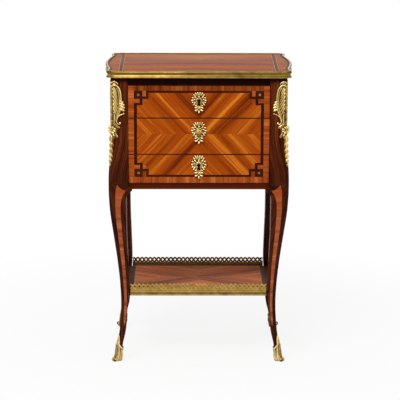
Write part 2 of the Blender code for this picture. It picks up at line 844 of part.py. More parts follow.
def make_plate(level, centre_z, height, pierced, carrier):
    """Gilt plate on a drawer front, crowned in the middle, with or without a keyhole."""
    outline = plate_outline(PLATE_WIDTH, height)
    back = -HALF_D - CLEARANCE
    border = 1 - 2 * PLATE_BORDER / PLATE_WIDTH
    rings = []
    layers = ((1.0, 0.0), (1.0, PLATE_EDGE), (border, PLATE_CROWN))
    if not pierced:
        boss = border * BOSS_SHARE
        layers += ((boss, PLATE_CROWN), (boss * BOSS_TOP_SHARE, PLATE_CROWN + PLATE_EDGE))
    for share, rise in layers:
        rings.append([(x * share, back - rise, centre_z + z * share) for x, z in outline])
    plate = loft("escutcheon_" + level, rings, "gilt_bronze", CAST_CREASE)
    if pierced:
        front = back - PLATE_CROWN - CUT_MARGIN
        cut(plate, keyhole_cutter("cutter_plate_" + level, centre_z, front, back + CLEARANCE / 2))
    carry(plate, carrier)


def make_lock(level, keyhole_z, top, carrier):
    """Lock let into the back of a drawer front, and its bolt."""
    back = DRAWER_FRONT - HALF_D
    front = back - LOCK_THICKNESS + CLEARANCE
    half = LOCK_WIDTH / 2 - CLEARANCE
    foot = keyhole_z - LOCK_BELOW_KEYHOLE
    case = block("lock_case_" + level, (-half, front, foot + CLEARANCE), (half, back, top), "iron")
    low, high = bolt_box(top)
    channel_low = (low[0] - BOLT_FIT, low[1] - BOLT_FIT, low[2] - CLEARANCE)
    channel_high = (high[0] + BOLT_FIT, high[1] + BOLT_FIT, top + CUT_MARGIN)
    cut(case, block("cutter_channel_" + level, channel_low, channel_high, "iron"))
    key_back = front + KEYHOLE_LOCK_DEPTH
    cut(case, keyhole_cutter("cutter_lock_key_" + level, keyhole_z, front - CUT_MARGIN, key_back))
    carry(case, carrier)
    marker = slide_marker("slide_lock_bolt_" + level, (0, (low[1] + high[1]) / 2, top), carrier)
    carry(block("lock_bolt_" + level, low, high, "iron"), marker)


def make_drawer(level, base, height, top_rebate, plate_height, plate_rise, locked):
    """One drawer: lipped front, grooved sides, back, bottom, keyhole plate and lock."""
    bottom_rebate = DUST_THICKNESS / 2 + CLEARANCE
    front_y = -HALF_D
    lip_y = front_y + DRAWER_LIP
    rear_y = front_y + DRAWER_FRONT
    reach = OPENING_HALF - FRONT_GAP
    low = base + FRONT_GAP
    high = base + height - FRONT_GAP
    rear_low = base + bottom_rebate
    rear_high = base + height - top_rebate if top_rebate else high
    marker = slide_marker("slide_drawer_" + level, (0, front_y, base + height / 2))

    profile = [(front_y, low), (lip_y, low), (lip_y, rear_low), (rear_y, rear_low), (rear_y, rear_high)]
    if top_rebate:
        profile += [(lip_y, rear_high), (lip_y, high)]
    profile.append((front_y, high))
    near = [(-reach, y, z) for y, z in profile]
    far = [(reach, y, z) for y, z in profile]
    front = loft("drawer_front_" + level, [near, far], "tulipwood")
    plate_z = base + height / 2 + plate_rise
    if locked:
        pocket_low = (-LOCK_WIDTH / 2, rear_y - LOCK_THICKNESS, plate_z - LOCK_BELOW_KEYHOLE)
        pocket_high = (LOCK_WIDTH / 2, rear_y + CUT_MARGIN, high + CUT_MARGIN)
        cut(front, block("cutter_pocket_" + level, pocket_low, pocket_high, "iron"))
        cut(front, keyhole_cutter("cutter_key_" + level, plate_z, front_y - CUT_MARGIN, rear_y))
        make_lock(level, plate_z, rear_high, marker)
    carry(front, marker)
    make_plate(level, plate_z, plate_height, locked, marker)

    outer = OPENING_HALF - SIDE_GAP
    start_y = rear_y + CLEARANCE
    end_y = BACK_INNER_Y - BACK_GAP
    floor_z = base + DUST_THICKNESS / 2 + CLEARANCE
    wall_top = rear_high - WALL_DROP
    groove_low = floor_z + BOTTOM_RISE - CLEARANCE
    groove_high = floor_z + BOTTOM_RISE + DRAWER_BOTTOM + CLEARANCE
    inner = outer - DRAWER_WALL
    groove = inner + GROOVE_DEPTH
    section = [
        (outer, floor_z),
        (outer, wall_top),
        (inner, wall_top),
        (inner, groove_high),
        (groove, groove_high),
        (groove, groove_low),
        (inner, groove_low),
        (inner, floor_z),
    ]
    for side, sign in (("left", -1), ("right", 1)):
        near = [(sign * x, start_y, z) for x, z in section]
        far = [(sign * x, end_y, z) for x, z in section]
        carry(loft("drawer_side_%s_%s" % (level, side), [near, far], "oak"), marker)
    back_low = (CLEARANCE - inner, end_y - DRAWER_WALL, groove_high)
    back_high = (inner - CLEARANCE, end_y, wall_top)
    carry(block("drawer_back_" + level, back_low, back_high, "oak"), marker)
    panel = groove - CLEARANCE
    panel_low = (-panel, start_y, groove_low + CLEARANCE)
    panel_high = (panel, end_y, groove_high - CLEARANCE)
    carry(block("drawer_bottom_" + level, panel_low, panel_high, "oak"), marker)


def make_drawers():
    """The three drawers; the middle one has no lock."""
    rebate = DUST_THICKNESS / 2 + CLEARANCE
    make_drawer("lower", LOWER_Z, LOWER_DRAWER_HEIGHT, rebate, LOWER_PLATE_HEIGHT, LOWER_PLATE_RISE, True)
    make_drawer("middle", MIDDLE_Z, MIDDLE_DRAWER_HEIGHT, rebate, MIDDLE_PLATE_HEIGHT, MIDDLE_PLATE_RISE,
                False)
    make_drawer("upper", UPPER_Z, UPPER_DRAWER_HEIGHT, 0.0, UPPER_PLATE_HEIGHT, UPPER_PLATE_RISE, True)


# Corner mounts


def wrapped_point(signs, z, along, lift):
    """A point on the canted corner of a stile: along its girth from the middle of the cant, lifted off it."""
    outward, width, cant = leg_measures(z)
    half_cant = cant / sqrt(2)
    middle = outward - cant / 2
    beyond = max(abs(along) - half_cant, 0.0)
    on_cant = min(abs(along), half_cant) / sqrt(2)
    near = middle + on_cant
    far = middle - on_cant - beyond
    lean = min(abs(along) / half_cant, 1.0)
    angle = radians(45 * (1 + lean))
    near += lift * sin(angle)
    far += lift * cos(angle)
    u, v = (far, near) if along < 0 else (near, far)
    return corner_point(signs, u, v, z)


def make_chutes():
    """Gilt corner mounts: a scrolled leaf, a rosette and a drop of husks, wrapped on the canted corner."""
    widest = STILE_WIDTH - CHUTE_MARGIN
    top = CASE_TOP_Z - CHUTE_TOP_GAP
    half_cant = STILE_CANT / sqrt(2)
    for corner, signs in CORNERS.items():
        rings = []
        for share, width_share, relief_share in CHUTE_SHARES:
            z = top - CHUTE_LENGTH * share
            set_back = widest * width_share - STILE_CANT / 2
            reach = min(set_back * sqrt(2), half_cant) + max(set_back - STILE_CANT / 2, 0.0)
            bend = min(half_cant, FOLD_SHARE * reach)
            relief = CHUTE_RELIEF * relief_share
            ring = [wrapped_point(signs, z, along, CLEARANCE) for along in (-reach, -bend, bend, reach)]
            for along, height in CHUTE_SECTION:
                ring.append(wrapped_point(signs, z, along * reach, CLEARANCE + CHUTE_EDGE + relief * height))
            rings.append(ring)
        loft("chute_" + corner, rings, "gilt_bronze", CAST_CREASE)


def main():
    clear_scene()
    make_legs()
    make_sabots()
    make_sides()
    make_back()
    make_rails()
    make_dust_boards()
    make_guides()
    make_rim()
    make_top()
    make_shelf()
    make_galleries()
    make_drawers()
    make_chutes()


main()
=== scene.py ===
"""Looks of the small chiffonier table: veneers, chased gilt mounts and a plain pale studio.

Everything is in metres in the frame of the solids: +Z up, the front faces -Y, the floor is at Z = 0.
Flat ornament is drawn in millimetres and laid on its piece by a place function.
"""
from collections import namedtuple
from math import acos, cos, exp, pi, radians, sin, sqrt

import bmesh
import bpy
from mathutils import Euler, Matrix, Vector


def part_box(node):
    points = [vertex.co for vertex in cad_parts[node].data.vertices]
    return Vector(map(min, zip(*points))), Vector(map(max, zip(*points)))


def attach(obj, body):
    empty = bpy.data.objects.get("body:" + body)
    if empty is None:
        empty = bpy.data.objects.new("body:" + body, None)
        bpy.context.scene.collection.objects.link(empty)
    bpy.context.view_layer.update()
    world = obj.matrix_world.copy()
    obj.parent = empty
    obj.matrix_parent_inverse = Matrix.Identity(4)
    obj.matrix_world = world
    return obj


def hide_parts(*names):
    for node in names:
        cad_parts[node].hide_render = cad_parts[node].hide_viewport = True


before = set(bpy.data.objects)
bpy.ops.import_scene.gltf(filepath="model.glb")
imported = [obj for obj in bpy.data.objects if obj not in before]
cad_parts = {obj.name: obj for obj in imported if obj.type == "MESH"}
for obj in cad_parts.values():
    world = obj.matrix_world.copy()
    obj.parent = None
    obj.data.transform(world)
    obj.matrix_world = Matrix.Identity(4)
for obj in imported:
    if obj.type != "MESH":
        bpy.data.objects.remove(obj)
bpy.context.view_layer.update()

MM = 0.001

# Case and legs, as the solids have them
HALF_W = 0.210
HALF_D = 0.150
LEG_LENGTH = 0.438
STILE_WIDTH = 0.041
STILE_CANT = 0.007
KNEE_SWELL = 0.0068
FLARE_START = 0.017
FLARE_HEIGHT = 0.115
BRACKET_REACH = 0.012
BRACKET_DROP = 0.018
LEG_FOOT = 0.0045
LEG_SHARES = (0.0, 0.100, 0.180, 0.317, 0.445, 0.587, 0.728, 0.865, 0.960)
LEG_OUTWARD = (-0.0045, -0.0105, -0.0162, -0.0201, -0.0183, -0.0124, -0.0044, 0.0035, 0.0064)
LEG_WIDTH = (0.0155, 0.0137, 0.0156, 0.0159, 0.0217, 0.0261, 0.0318, 0.0392, 0.0428)
LEG_CANT = (0.0040, 0.0040, 0.0040, 0.0040, 0.0044, 0.0050, 0.0058, 0.0065, 0.0070)
ARRIS = 0.0010
SOFT_EDGE = 0.0004
CORNERS = {
    "front_left": (-1, -1),
    "front_right": (1, -1),
    "back_left": (-1, 1),
    "back_right": (1, 1),
}

# Heights read from the frame
CASE_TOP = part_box("leg_front_left")[1].z
TOP_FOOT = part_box("top_rim_front")[0].z
TOP_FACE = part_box("table_top")[1].z
SHELF_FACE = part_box("shelf_board")[1].z
GALLERY_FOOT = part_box("gallery_front")[0].z
GALLERY_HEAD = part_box("gallery_front")[1].z
DRAWER_NAMES = ("upper", "middle", "lower")
DRAWER_BOXES = {name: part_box("drawer_front_" + name) for name in DRAWER_NAMES}
STACK_HALF = DRAWER_BOXES["upper"][1].x
STACK_TOP = DRAWER_BOXES["upper"][1].z
STACK_FOOT = DRAWER_BOXES["lower"][0].z
# the marquetry is set a little high on the stack
STACK_MIDDLE = (STACK_TOP + STACK_FOOT) / 2 + 0.0015

# Veneer
VENEER = 0.0006
VENEER_BED = 0.00005
FIELD_ANGLE = radians(47)
CROSSBAND = 13.7 * MM
STRING_WIDE = 7.2 * MM
STRING_FLAT = 5.4 * MM
SIDE_BAND = 11 * MM
SIDE_STRING = 4 * MM

# Shading

class Value:
    """A number from a shader node; arithmetic on it adds Math nodes to the same recipe."""

    def __init__(self, recipe, socket):
        self.recipe = recipe
        self.socket = socket

    def math(self, operation, first, second):
        return self.recipe.node("ShaderNodeMath", {"operation": operation}, {0: first, 1: second})

    def __add__(self, other):
        return self.math("ADD", self, other)

    def __radd__(self, other):
        return self.math("ADD", other, self)

    def __sub__(self, other):
        return self.math("SUBTRACT", self, other)

    def __rsub__(self, other):
        return self.math("SUBTRACT", other, self)

    def __mul__(self, other):
        return self.math("MULTIPLY", self, other)

    def __rmul__(self, other):
        return self.math("MULTIPLY", other, self)

    def spread(self, low, high):
        """Nought at low and below, one at high and above, a straight rise between."""
        sockets = {"Value": self, "From Min": low, "From Max": high}
        return self.recipe.node("ShaderNodeMapRange", {"clamp": True}, sockets)

class Recipe:
    """The nodes of one finish."""

    def __init__(self, tree):
        self.tree = tree
        self.tree.nodes.clear()

    def node(self, kind, settings=None, sockets=None, output=0):
        """Adds a node, sets it up, fills or links its sockets, and gives one of its outputs."""
        made = self.tree.nodes.new(kind)
        for name, setting in (settings or {}).items():
            if name == "stops":
                lay_stops(made.color_ramp, setting)
            else:
                setattr(made, name, setting)
        for name, value in (sockets or {}).items():
            if isinstance(value, Value):
                self.tree.links.new(value.socket, made.inputs[name])
            else:
                made.inputs[name].default_value = value
        return Value(self, made.outputs[output]) if made.outputs else None

    def mix(self, factor, first, second):
        """Mixes two colours."""
        settings = {"data_type": "RGBA", "clamp_factor": True}
        return self.node("ShaderNodeMix", settings, {0: factor, 6: first, 7: second}, 2)

    def ramp(self, value, stops):
        """Colours or tones along a value from nought to one."""
        return self.node("ShaderNodeValToRGB", {"stops": stops}, {"Fac": value})

    def noise(self, x, y, z, detail=2.0):
        """Noise at a point given by three numbers."""
        point = self.node("ShaderNodeCombineXYZ", None, {"X": x, "Y": y, "Z": z})
        sockets = {"Vector": point, "Scale": 1.0, "Detail": detail}
        return self.node("ShaderNodeTexNoise", None, sockets)

    def parts(self, vector):
        """The three numbers of a vector."""
        split = self.node("ShaderNodeSeparateXYZ", None, {0: vector})
        outputs = split.socket.node.outputs
        return [Value(self, outputs[axis]) for axis in range(3)]

    def spot(self):
        """The three coordinates of a place on the piece."""
        return self.parts(self.node("ShaderNodeTexCoord", output="Object"))

def lay_stops(ramp, stops):
    """Puts stops, each a place and a grey tone or a colour, on a colour ramp."""
    ramp.interpolation = "EASE"
    while len(ramp.elements) > 1:
        ramp.elements.remove(ramp.elements[-1])
    for number, (place, tone) in enumerate(stops):
        stop = ramp.elements[0] if number == 0 else ramp.elements.new(place)
        stop.position = place
        stop.color = (*tone, 1.0) if isinstance(tone, tuple) else (tone, tone, tone, 1.0)

def new_material(name):
    """A bare material and its recipe."""
    material = bpy.data.materials.new(name)
    material.use_nodes = True
    return material, Recipe(material.node_tree)

def close_recipe(recipe, colour, roughness, bump, bump_depth, fixed):
    """Ends a recipe with the surface shader: what varies is linked, what is fixed is set."""
    height = {"Height": bump, "Distance": bump_depth, "Strength": 1.0}
    normal = recipe.node("ShaderNodeBump", None, height)
    sockets = {"Base Color": colour, "Roughness": roughness, "Normal": normal, **fixed}
    shader = recipe.node("ShaderNodeBsdfPrincipled", None, sockets)
    recipe.node("ShaderNodeOutputMaterial", None, {"Surface": shader})

Figure = namedtuple("Figure", "first second start shift span")
# Figures of the quartered veneers: streaks of two quarters (millimetres across the grain, tone from dark to
# light), where the first starts, how far on the second lies and the span of both, in metres
DRAWER_FIGURE = Figure(
    ((-72, 0.44), (-52, 0.52), (-38, 0.34), (-30, 0.12), (-23, 0.40), (-11, 0.46), (1, 0.58),
     (7, 0.88), (14, 0.50), (26, 0.24), (37, 0.44), (57, 0.50), (75, 0.58), (102, 0.46)),
    ((-72, 0.46), (-46, 0.56), (-29, 0.60), (-18, 0.46), (-8, 0.26), (4, 0.50), (18, 0.84),
     (28, 0.46), (38, 0.24), (46, 0.60), (64, 0.56), (80, 0.62), (98, 0.66), (112, 0.52)),
    -0.080, 0.220, 0.420,
)
TOP_FIGURE = Figure(
    ((-28, 0.62), (-8, 0.50), (3, 0.26), (18, 0.24), (32, 0.36), (46, 0.58), (82, 0.86), (112, 0.74),
     (150, 0.50)),
    ((-28, 0.60), (-8, 0.48), (3, 0.22), (16, 0.24), (38, 0.36), (60, 0.42), (78, 0.52), (104, 0.42),
     (150, 0.54)),
    -0.040, 0.200, 0.420,
)
SHELF_FIGURE = Figure(
    ((-92, 0.52), (-52, 0.58), (-26, 0.46), (-7, 0.22), (6, 0.24), (24, 0.48), (58, 0.62), (92, 0.54)),
    ((-92, 0.62), (-52, 0.58), (-26, 0.42), (-5, 0.14), (8, 0.20), (28, 0.50), (58, 0.60), (92, 0.62)),
    -0.110, 0.220, 0.440,
)
# Stains on the legs' veneers, and on the amaranth a darkening towards the bottom and a painted shadow under
# the top: heights where one starts and is full, share, colour
DARKENING_AND_SHADE_COLOUR = (0.010, 0.0015, 0.0008)
STILE_DARKENING_AND_SHADE = ((0.58, 0.46, 0.48, DARKENING_AND_SHADE_COLOUR), (0.6935, 0.7015, 0.88, DARKENING_AND_SHADE_COLOUR))
LEG_STAINS = ((0.345, 0.420, 0.50, (0.390, 0.055, 0.002)),)

def figure_stops(figure):
    """Ramp stops for the streaks of a figure, one quarter after the other."""
    stops = []
    for streaks, shift in ((figure.first, 0.0), (figure.second, figure.shift)):
        stops += [((across * MM + shift - figure.start) / figure.span, tone) for across, tone in streaks]
    return stops

def veneer(name, dark, middle, light, figure=None, figure_share=0.0, gloss=0.30, shine=0.025, reach=0.42,
           stains_and_shade=()):
    """Straight-grained veneer: streaks and pores drawn out along the grain that the piece was laid with."""
    material, recipe = new_material(name)
    along, across = recipe.parts(recipe.node("ShaderNodeUVMap", {"uv_map": "grain"}))[:2]
    wander = recipe.noise(along * 9.0, across * 22.0, 0.3) - 0.5
    line = across + wander * 0.0042
    broad = recipe.noise(along * 3.0, line * 75.0, 1.7, 2.0).spread(0.30, 0.70)
    streak = recipe.noise(along * 6.0, line * 260.0, 4.1, 4.0).spread(0.28, 0.72)
    fine = recipe.noise(along * 34.0, line * 1500.0, 7.9, 2.0).spread(0.25, 0.75)
    if figure:
        drawn = recipe.ramp((line - figure.start) * (1.0 / figure.span), figure_stops(figure))
        tone = drawn * figure_share + broad * (0.70 - figure_share) + streak * 0.18 + fine * 0.12
    else:
        tone = broad * 0.46 + streak * 0.36 + fine * 0.18
    pores = recipe.noise(along * 170.0, across * 3600.0, 2.2, 1.0).spread(0.60, 0.72)
    colour = recipe.ramp(tone, [(0.50 - reach, dark), (0.50, middle), (0.50 + reach, light)])
    colour = recipe.mix(pores * 0.30, colour, (*[part * 0.35 for part in dark], 1.0))
    # stains by height; on the amaranth these are a darkening towards the bottom and a painted shadow under
    # the top
    for clear, full, share, stain_and_shade_colour in stains_and_shade:
        height = recipe.spot()[2]
        amount = height.spread(clear, full) if clear < full else 1.0 - height.spread(full, clear)
        colour = recipe.mix(amount * share, colour, (*stain_and_shade_colour, 1.0))
    roughness = gloss + fine * 0.10 + pores * 0.15
    close_recipe(recipe, colour, roughness, fine - pores * 0.6, 0.00003, {"Specular IOR Level": shine})
    return material

def plain_wood(name, axis, dark, light, gloss, shine):
    """Solid wood whose grain runs along one axis of the room."""
    material, recipe = new_material(name)
    spot = recipe.spot()
    along = spot.pop(axis)
    side, rise = spot
    wander = recipe.noise(along * 6.0, side * 18.0, rise * 18.0) - 0.5
    rings = recipe.noise(along * 2.5, (side + wander * 0.006) * 130.0, rise * 130.0, 4.0).spread(0.25, 0.75)
    flecks = recipe.noise(along * 60.0, side * 1300.0, rise * 1300.0, 2.0).spread(0.55, 0.75)
    soil = recipe.noise(along * 9.0, side * 9.0, rise * 9.0, 3.0).spread(0.35, 0.75)
    colour = recipe.mix(rings, (*dark, 1.0), (*light, 1.0))
    colour = recipe.mix(flecks * 0.40, colour, (*[part * 0.45 for part in dark], 1.0))
    colour = recipe.mix(soil * 0.22, colour, (*[part * 0.55 for part in dark], 1.0))
    roughness = gloss + flecks * 0.12
    close_recipe(recipe, colour, roughness, rings - flecks, 0.00006, {"Specular IOR Level": shine})
    return material

def gilt_bronze(name, tones):
    """Chased gilt bronze: burnished ridges, brown patina in the hollows, faint casting grain."""
    material, recipe = new_material(name)
    relief = recipe.node("ShaderNodeAttribute", {"attribute_name": "relief"}, None, 2)
    x, y, z = recipe.spot()
    cloud = recipe.noise(x * 55.0, y * 55.0, z * 55.0, 4.0).spread(0.30, 0.70)
    grit = recipe.noise(x * 900.0, y * 900.0, z * 900.0, 2.0).spread(0.30, 0.70)
    worn = (relief * 1.05 + cloud * 0.30 + grit * 0.12 - 0.26).spread(0.0, 1.0)
    colour = recipe.ramp(worn, tones)
    roughness = 0.40 - worn * 0.20 + grit * 0.05
    close_recipe(recipe, colour, roughness, grit + cloud, 0.00004, {"Metallic": 1.0})
    return material

# Gilding from the hollows to the ridges: as it was chased, and rubbed paler where hands and brooms reach; on
# the rubbed gilding the paler ridges are partly painted highlight
GILDINGS = {
    "gilt_bronze": (
        (0.00, (0.060, 0.035, 0.0067)), (0.30, (0.228, 0.137, 0.032)), (0.62, (0.446, 0.284, 0.073)),
        (1.00, (0.782, 0.585, 0.228)),
    ),
    "gilt_rubbed": (
        (0.00, (0.062, 0.037, 0.009)), (0.30, (0.245, 0.152, 0.046)), (0.62, (0.485, 0.322, 0.108)),
        (1.00, (0.850, 0.675, 0.345)),
    ),
}

def old_iron():
    """Dark lock iron with rubbed and rusty patches."""
    material, recipe = new_material("iron")
    x, y, z = recipe.spot()
    cloud = recipe.noise(x * 120.0, y * 120.0, z * 120.0, 5.0).spread(0.35, 0.68)
    scratch = recipe.noise(x * 1500.0, y * 90.0, z * 90.0, 2.0).spread(0.45, 0.75)
    colour = recipe.mix(cloud, (0.030, 0.028, 0.027, 1.0), (0.034, 0.020, 0.012, 1.0))
    colour = recipe.mix(scratch * 0.4, colour, (0.110, 0.105, 0.100, 1.0))
    close_recipe(recipe, colour, 0.38 + cloud * 0.25, scratch + cloud, 0.00004, {"Metallic": 1.0})
    return material

# Veneers: dark, middle and light of the grain, then what differs from the plain recipe
VENEERS = {
    "tulipwood_field": ((0.140, 0.019, 0.002), (0.400, 0.065, 0.003), (0.740, 0.210, 0.016),
                        {"figure": DRAWER_FIGURE, "figure_share": 0.52, "reach": 0.24}),
    "tulipwood_band": ((0.210, 0.031, 0.005), (0.410, 0.078, 0.012), (0.600, 0.165, 0.038), {"reach": 0.34}),
    # crossband under the top's overhang: a darker copy of the band as painted shadow
    "tulipwood_head": ((0.120, 0.016, 0.002), (0.250, 0.044, 0.006), (0.380, 0.092, 0.016), {"reach": 0.30}),
    # the top's pale, greyish pink tone is partly painted sheen
    "tulipwood_top": ((0.220, 0.070, 0.058), (0.360, 0.118, 0.054), (0.520, 0.205, 0.070),
                      {"figure": TOP_FIGURE, "figure_share": 0.44, "gloss": 0.36, "shine": 0.008,
                       "reach": 0.24}),
    "tulipwood_shelf": ((0.240, 0.088, 0.060), (0.650, 0.190, 0.070), (0.860, 0.390, 0.220),
                        {"figure": SHELF_FIGURE, "figure_share": 0.44, "gloss": 0.36, "shine": 0.01,
                         "reach": 0.28}),
    "tulipwood_key": ((0.200, 0.080, 0.030), (0.340, 0.150, 0.065), (0.460, 0.230, 0.110), {}),
    "tulipwood_leg": ((0.210, 0.047, 0.019), (0.405, 0.104, 0.040), (0.580, 0.188, 0.080),
                      {"reach": 0.36, "stains_and_shade": LEG_STAINS}),
    "amaranth": ((0.034, 0.0052, 0.0018), (0.088, 0.0150, 0.0036), (0.160, 0.034, 0.010),
                 {"gloss": 0.28, "reach": 0.19, "stains_and_shade": STILE_DARKENING_AND_SHADE}),
    # greyish amaranth, its grey partly painted sheen
    "amaranth_flat": ((0.060, 0.026, 0.020), (0.125, 0.062, 0.048), (0.200, 0.115, 0.095),
                      {"gloss": 0.34, "shine": 0.01}),
    "stringing": ((0.022, 0.0040, 0.0015), (0.045, 0.0075, 0.0020), (0.080, 0.016, 0.005), {}),
    "pale_wood": ((0.36, 0.16, 0.080), (0.50, 0.26, 0.14), (0.62, 0.36, 0.21), {}),
}
# Solid woods: axis of the grain, dark, light, roughness, shine
OAK = ((0.230, 0.115, 0.045), (0.420, 0.250, 0.115), 0.55, 0.2)
SOLID_WOODS = {
    # rail under the top: amaranth darkened as painted shadow of the top's overhang
    "amaranth_painted_shade": (0, (0.007, 0.0012, 0.0006), (0.020, 0.0040, 0.0020), 0.34, 0.01),
    "amaranth_x": (0, (0.052, 0.0062, 0.0016), (0.170, 0.024, 0.0050), 0.30, 0.02),
    "oak_x": (0, *OAK),
    "oak_y": (1, *OAK),
    "oak_z": (2, *OAK),
}

def make_finishes():
    """All finishes of the table by name."""
    made = {"iron": old_iron()}
    for name, (dark, middle, light, options) in VENEERS.items():
        made[name] = veneer(name, dark, middle, light, **options)
    for name, tones in GILDINGS.items():
        made[name] = gilt_bronze(name, tones)
    for name, parts in SOLID_WOODS.items():
        made[name] = plain_wood(name, *parts)
    return made

FINISHES = make_finishes()

# Pieces

class Piece:
    """Gathers the points and faces of one piece, with their finish and grain, then makes the object."""

    def __init__(self, name, metal="gilt_bronze"):
        self.name = name
        self.metal = metal
        self.points = []
        self.relief = []
        self.faces = []
        self.finishes = []
        self.soft_edges = []

    def point(self, place, relief=1.0):
        """Adds a point and gives its number."""
        self.points.append(place)
        self.relief.append(relief)
        return len(self.points) - 1

    def face(self, corners, finish, grain=None):
        """Adds a face; grain gives along and across at each corner, in metres."""
        if finish not in self.finishes:
            self.finishes.append(finish)
        self.faces.append((corners, self.finishes.index(finish), grain))

    def skin(self, rings, finish, capped=True, looped=False):
        """Joins rings of equally many points."""
        count = len(rings[0])
        pairs = list(zip(rings, rings[1:]))
        if looped:
            pairs.append((rings[-1], rings[0]))
        for low, high in pairs:
            for here in range(count):
                after = (here + 1) % count
                self.face((low[here], low[after], high[after], high[here]), finish)
        if capped and not looped:
            self.face(tuple(reversed(rings[0])), finish)
            self.face(tuple(rings[-1]), finish)

    def cast(self, rings, capped=True, looped=False):
        """Skins rings of points, each a place and its relief, in the piece's metal; gives their numbers."""
        numbers = [[self.point(*spot) for spot in ring] for ring in rings]
        self.skin(numbers, self.metal, capped, looped)
        return numbers

    def make(self, body, replaces=(), crease=38):
        """Builds the mesh, faces pointing out, and lets it ride on its body."""
        shape = bmesh.new()
        grain_layer = shape.loops.layers.uv.new("grain")
        relief_layer = shape.verts.layers.float.new("relief")
        corners = [shape.verts.new(point) for point in self.points]
        for corner, relief in zip(corners, self.relief):
            corner[relief_layer] = relief
        for numbers, finish, grain in self.faces:
            made = shape.faces.new([corners[number] for number in numbers])
            made.material_index = finish
            if grain:
                for loop, laid in zip(made.loops, grain):
                    loop[grain_layer].uv = laid
        bmesh.ops.recalc_face_normals(shape, faces=shape.faces)
        if self.soft_edges:
            edges = [shape.edges.get((corners[one], corners[two])) for one, two in self.soft_edges]
            bmesh.ops.bevel(shape, geom=edges, offset=SOFT_EDGE, segments=2, profile=0.5, affect="EDGES")
        mesh = bpy.data.meshes.new(self.name)
        shape.to_mesh(mesh)
        shape.free()
        mesh.shade_smooth()
        mesh.set_sharp_from_angle(angle=radians(crease))
        for finish in self.finishes:
            mesh.materials.append(FINISHES[finish])
        made = bpy.data.objects.new(self.name, mesh)
        bpy.context.collection.objects.link(made)
        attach(made, body)
        if replaces:
            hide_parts(*replaces)

def smooth_between(stations, spot, t):
    """A point on the smooth curve through stations, t of the way from one to the next."""
    last = len(stations) - 1
    before = stations[max(spot - 1, 0)]
    here = stations[spot]
    after = stations[spot + 1]
    beyond = stations[min(spot + 2, last)]
    values = []
    for a, b, c, d in zip(before, here, after, beyond):
        bend = a - 2.5 * b + 2 * c - d / 2
        twist = 1.5 * (b - c) + (d - a) / 2
        values.append(b + t * ((c - a) / 2 + t * (bend + t * twist)))
    return values

def curve_through(stations, steps):
    """Points of the smooth curve through stations, with so many steps in each span."""
    made = []
    for spot in range(len(stations) - 1):
        made += [smooth_between(stations, spot, step / steps) for step in range(steps)]
    made.append(list(stations[-1]))
    return made

def smooth_through(stations, share):
    """Values at a share of the length, on a smooth curve through stations sorted by share."""
    last = len(stations) - 1
    spot = 0
    while spot < last - 1 and share > stations[spot + 1][0]:
        spot += 1
    before = stations[max(spot - 1, 0)]
    here = stations[spot]
    after = stations[spot + 1]
    beyond = stations[min(spot + 2, last)]
    span = after[0] - here[0]
    t = (share - here[0]) / span
    values = []
    for column in range(1, len(here)):
        slope_here = (after[column] - before[column]) / (after[0] - before[0]) * span
        slope_after = (beyond[column] - here[column]) / (beyond[0] - here[0]) * span
        change = after[column] - here[column]
        bend = 3 * change - 2 * slope_here - slope_after
        twist = slope_here + slope_after - 2 * change
        values.append(here[column] + t * (slope_here + t * (bend + t * twist)))
    return values

def ridge_section(shape, steps=8):
    """Section of a chased ridge, foot to foot: share of the half width, share of the height."""
    made = []
    for step in range(steps + 1):
        angle = pi * step / steps
        across = -cos(angle)
        made.append((across, max(shape(across, sin(angle)), 0.0)))
    return made

ROUND = ridge_section(lambda across, rise: rise)
LEAF = ridge_section(lambda across, rise: rise ** 0.8 * (1 - 0.52 * exp(-(across / 0.24) ** 2)), 10)
KEEL = ridge_section(lambda across, rise: (1 - abs(across)) ** 0.8)

def ridge(piece, stations, place, section=ROUND, steps=4, foot_tone=0.30, worn=1.0):
    """Sweeps a raised section along a path of (along, up, width, height) stations in millimetres."""
    samples = curve_through(stations, steps)
    last = len(samples) - 1
    rings = []
    for number, (along, up, width, height) in enumerate(samples):
        back = samples[max(number - 1, 0)]
        ahead = samples[min(number + 1, last)]
        run = Vector((ahead[0] - back[0], ahead[1] - back[1])).normalized()
        ring = []
        for across, lift in section:
            spot = place(along - run.y * across * width / 2, up + run.x * across * width / 2, lift * height)
            ring.append((spot, worn * (foot_tone + (1 - foot_tone) * lift)))
        rings.append(ring)
    piece.cast(rings)

def bead(piece, along, up, radius, height, place, rounds=12, rows=4, worn=1.0):
    """A domed pearl; the less worn, the darker it is."""
    rings = []
    for row in range(rows):
        angle = pi / 2 * row / rows
        reach, lift = radius * cos(angle), sin(angle)
        ring = []
        for step in range(rounds):
            turn = 2 * pi * step / rounds
            spot = place(along + reach * cos(turn), up + reach * sin(turn), height * lift)
            ring.append((spot, worn * (0.25 + 0.75 * lift)))
        rings.append(ring)
    dome = piece.cast(rings, capped=False)
    tip = piece.point(place(along, up, height), worn)
    piece.face(tuple(reversed(dome[0])), piece.metal)
    for step in range(rounds):
        piece.face((dome[-1][step], dome[-1][(step + 1) % rounds], tip), piece.metal)

# A lobe's root to tip: share of its length, of its width, of its height
LOBE_STATIONS = (
    (0.0, 0.55, 0.60), (0.38, 0.92, 0.95), (0.72, 1.0, 1.0), (0.92, 0.72, 0.82), (1.0, 0.30, 0.45),
)

def lobe(piece, root, tip, width, height, place, foot_tone=0.30, section=LEAF, worn=1.0):
    """One rounded leaf lobe from its root to its tip."""
    stations = []
    for share, wide, high in LOBE_STATIONS:
        along = root[0] + (tip[0] - root[0]) * share
        up = root[1] + (tip[1] - root[1]) * share
        stations.append((along, up, width * wide, height * high))
    ridge(piece, stations, place, section, foot_tone=foot_tone, worn=worn)

def mirrored(place):
    """The same place function with its first measure turned round."""
    return lambda along, up, lift: place(-along, up, lift)

def sign_of(measure):
    """Which side of the middle a measure lies on."""
    return 1 if measure > 0 else -1

def quarter_of(along, up):
    """Number of the quarter of a field that a place lies in."""
    return (along > 0) + 2 * (up > 0)

# Legs

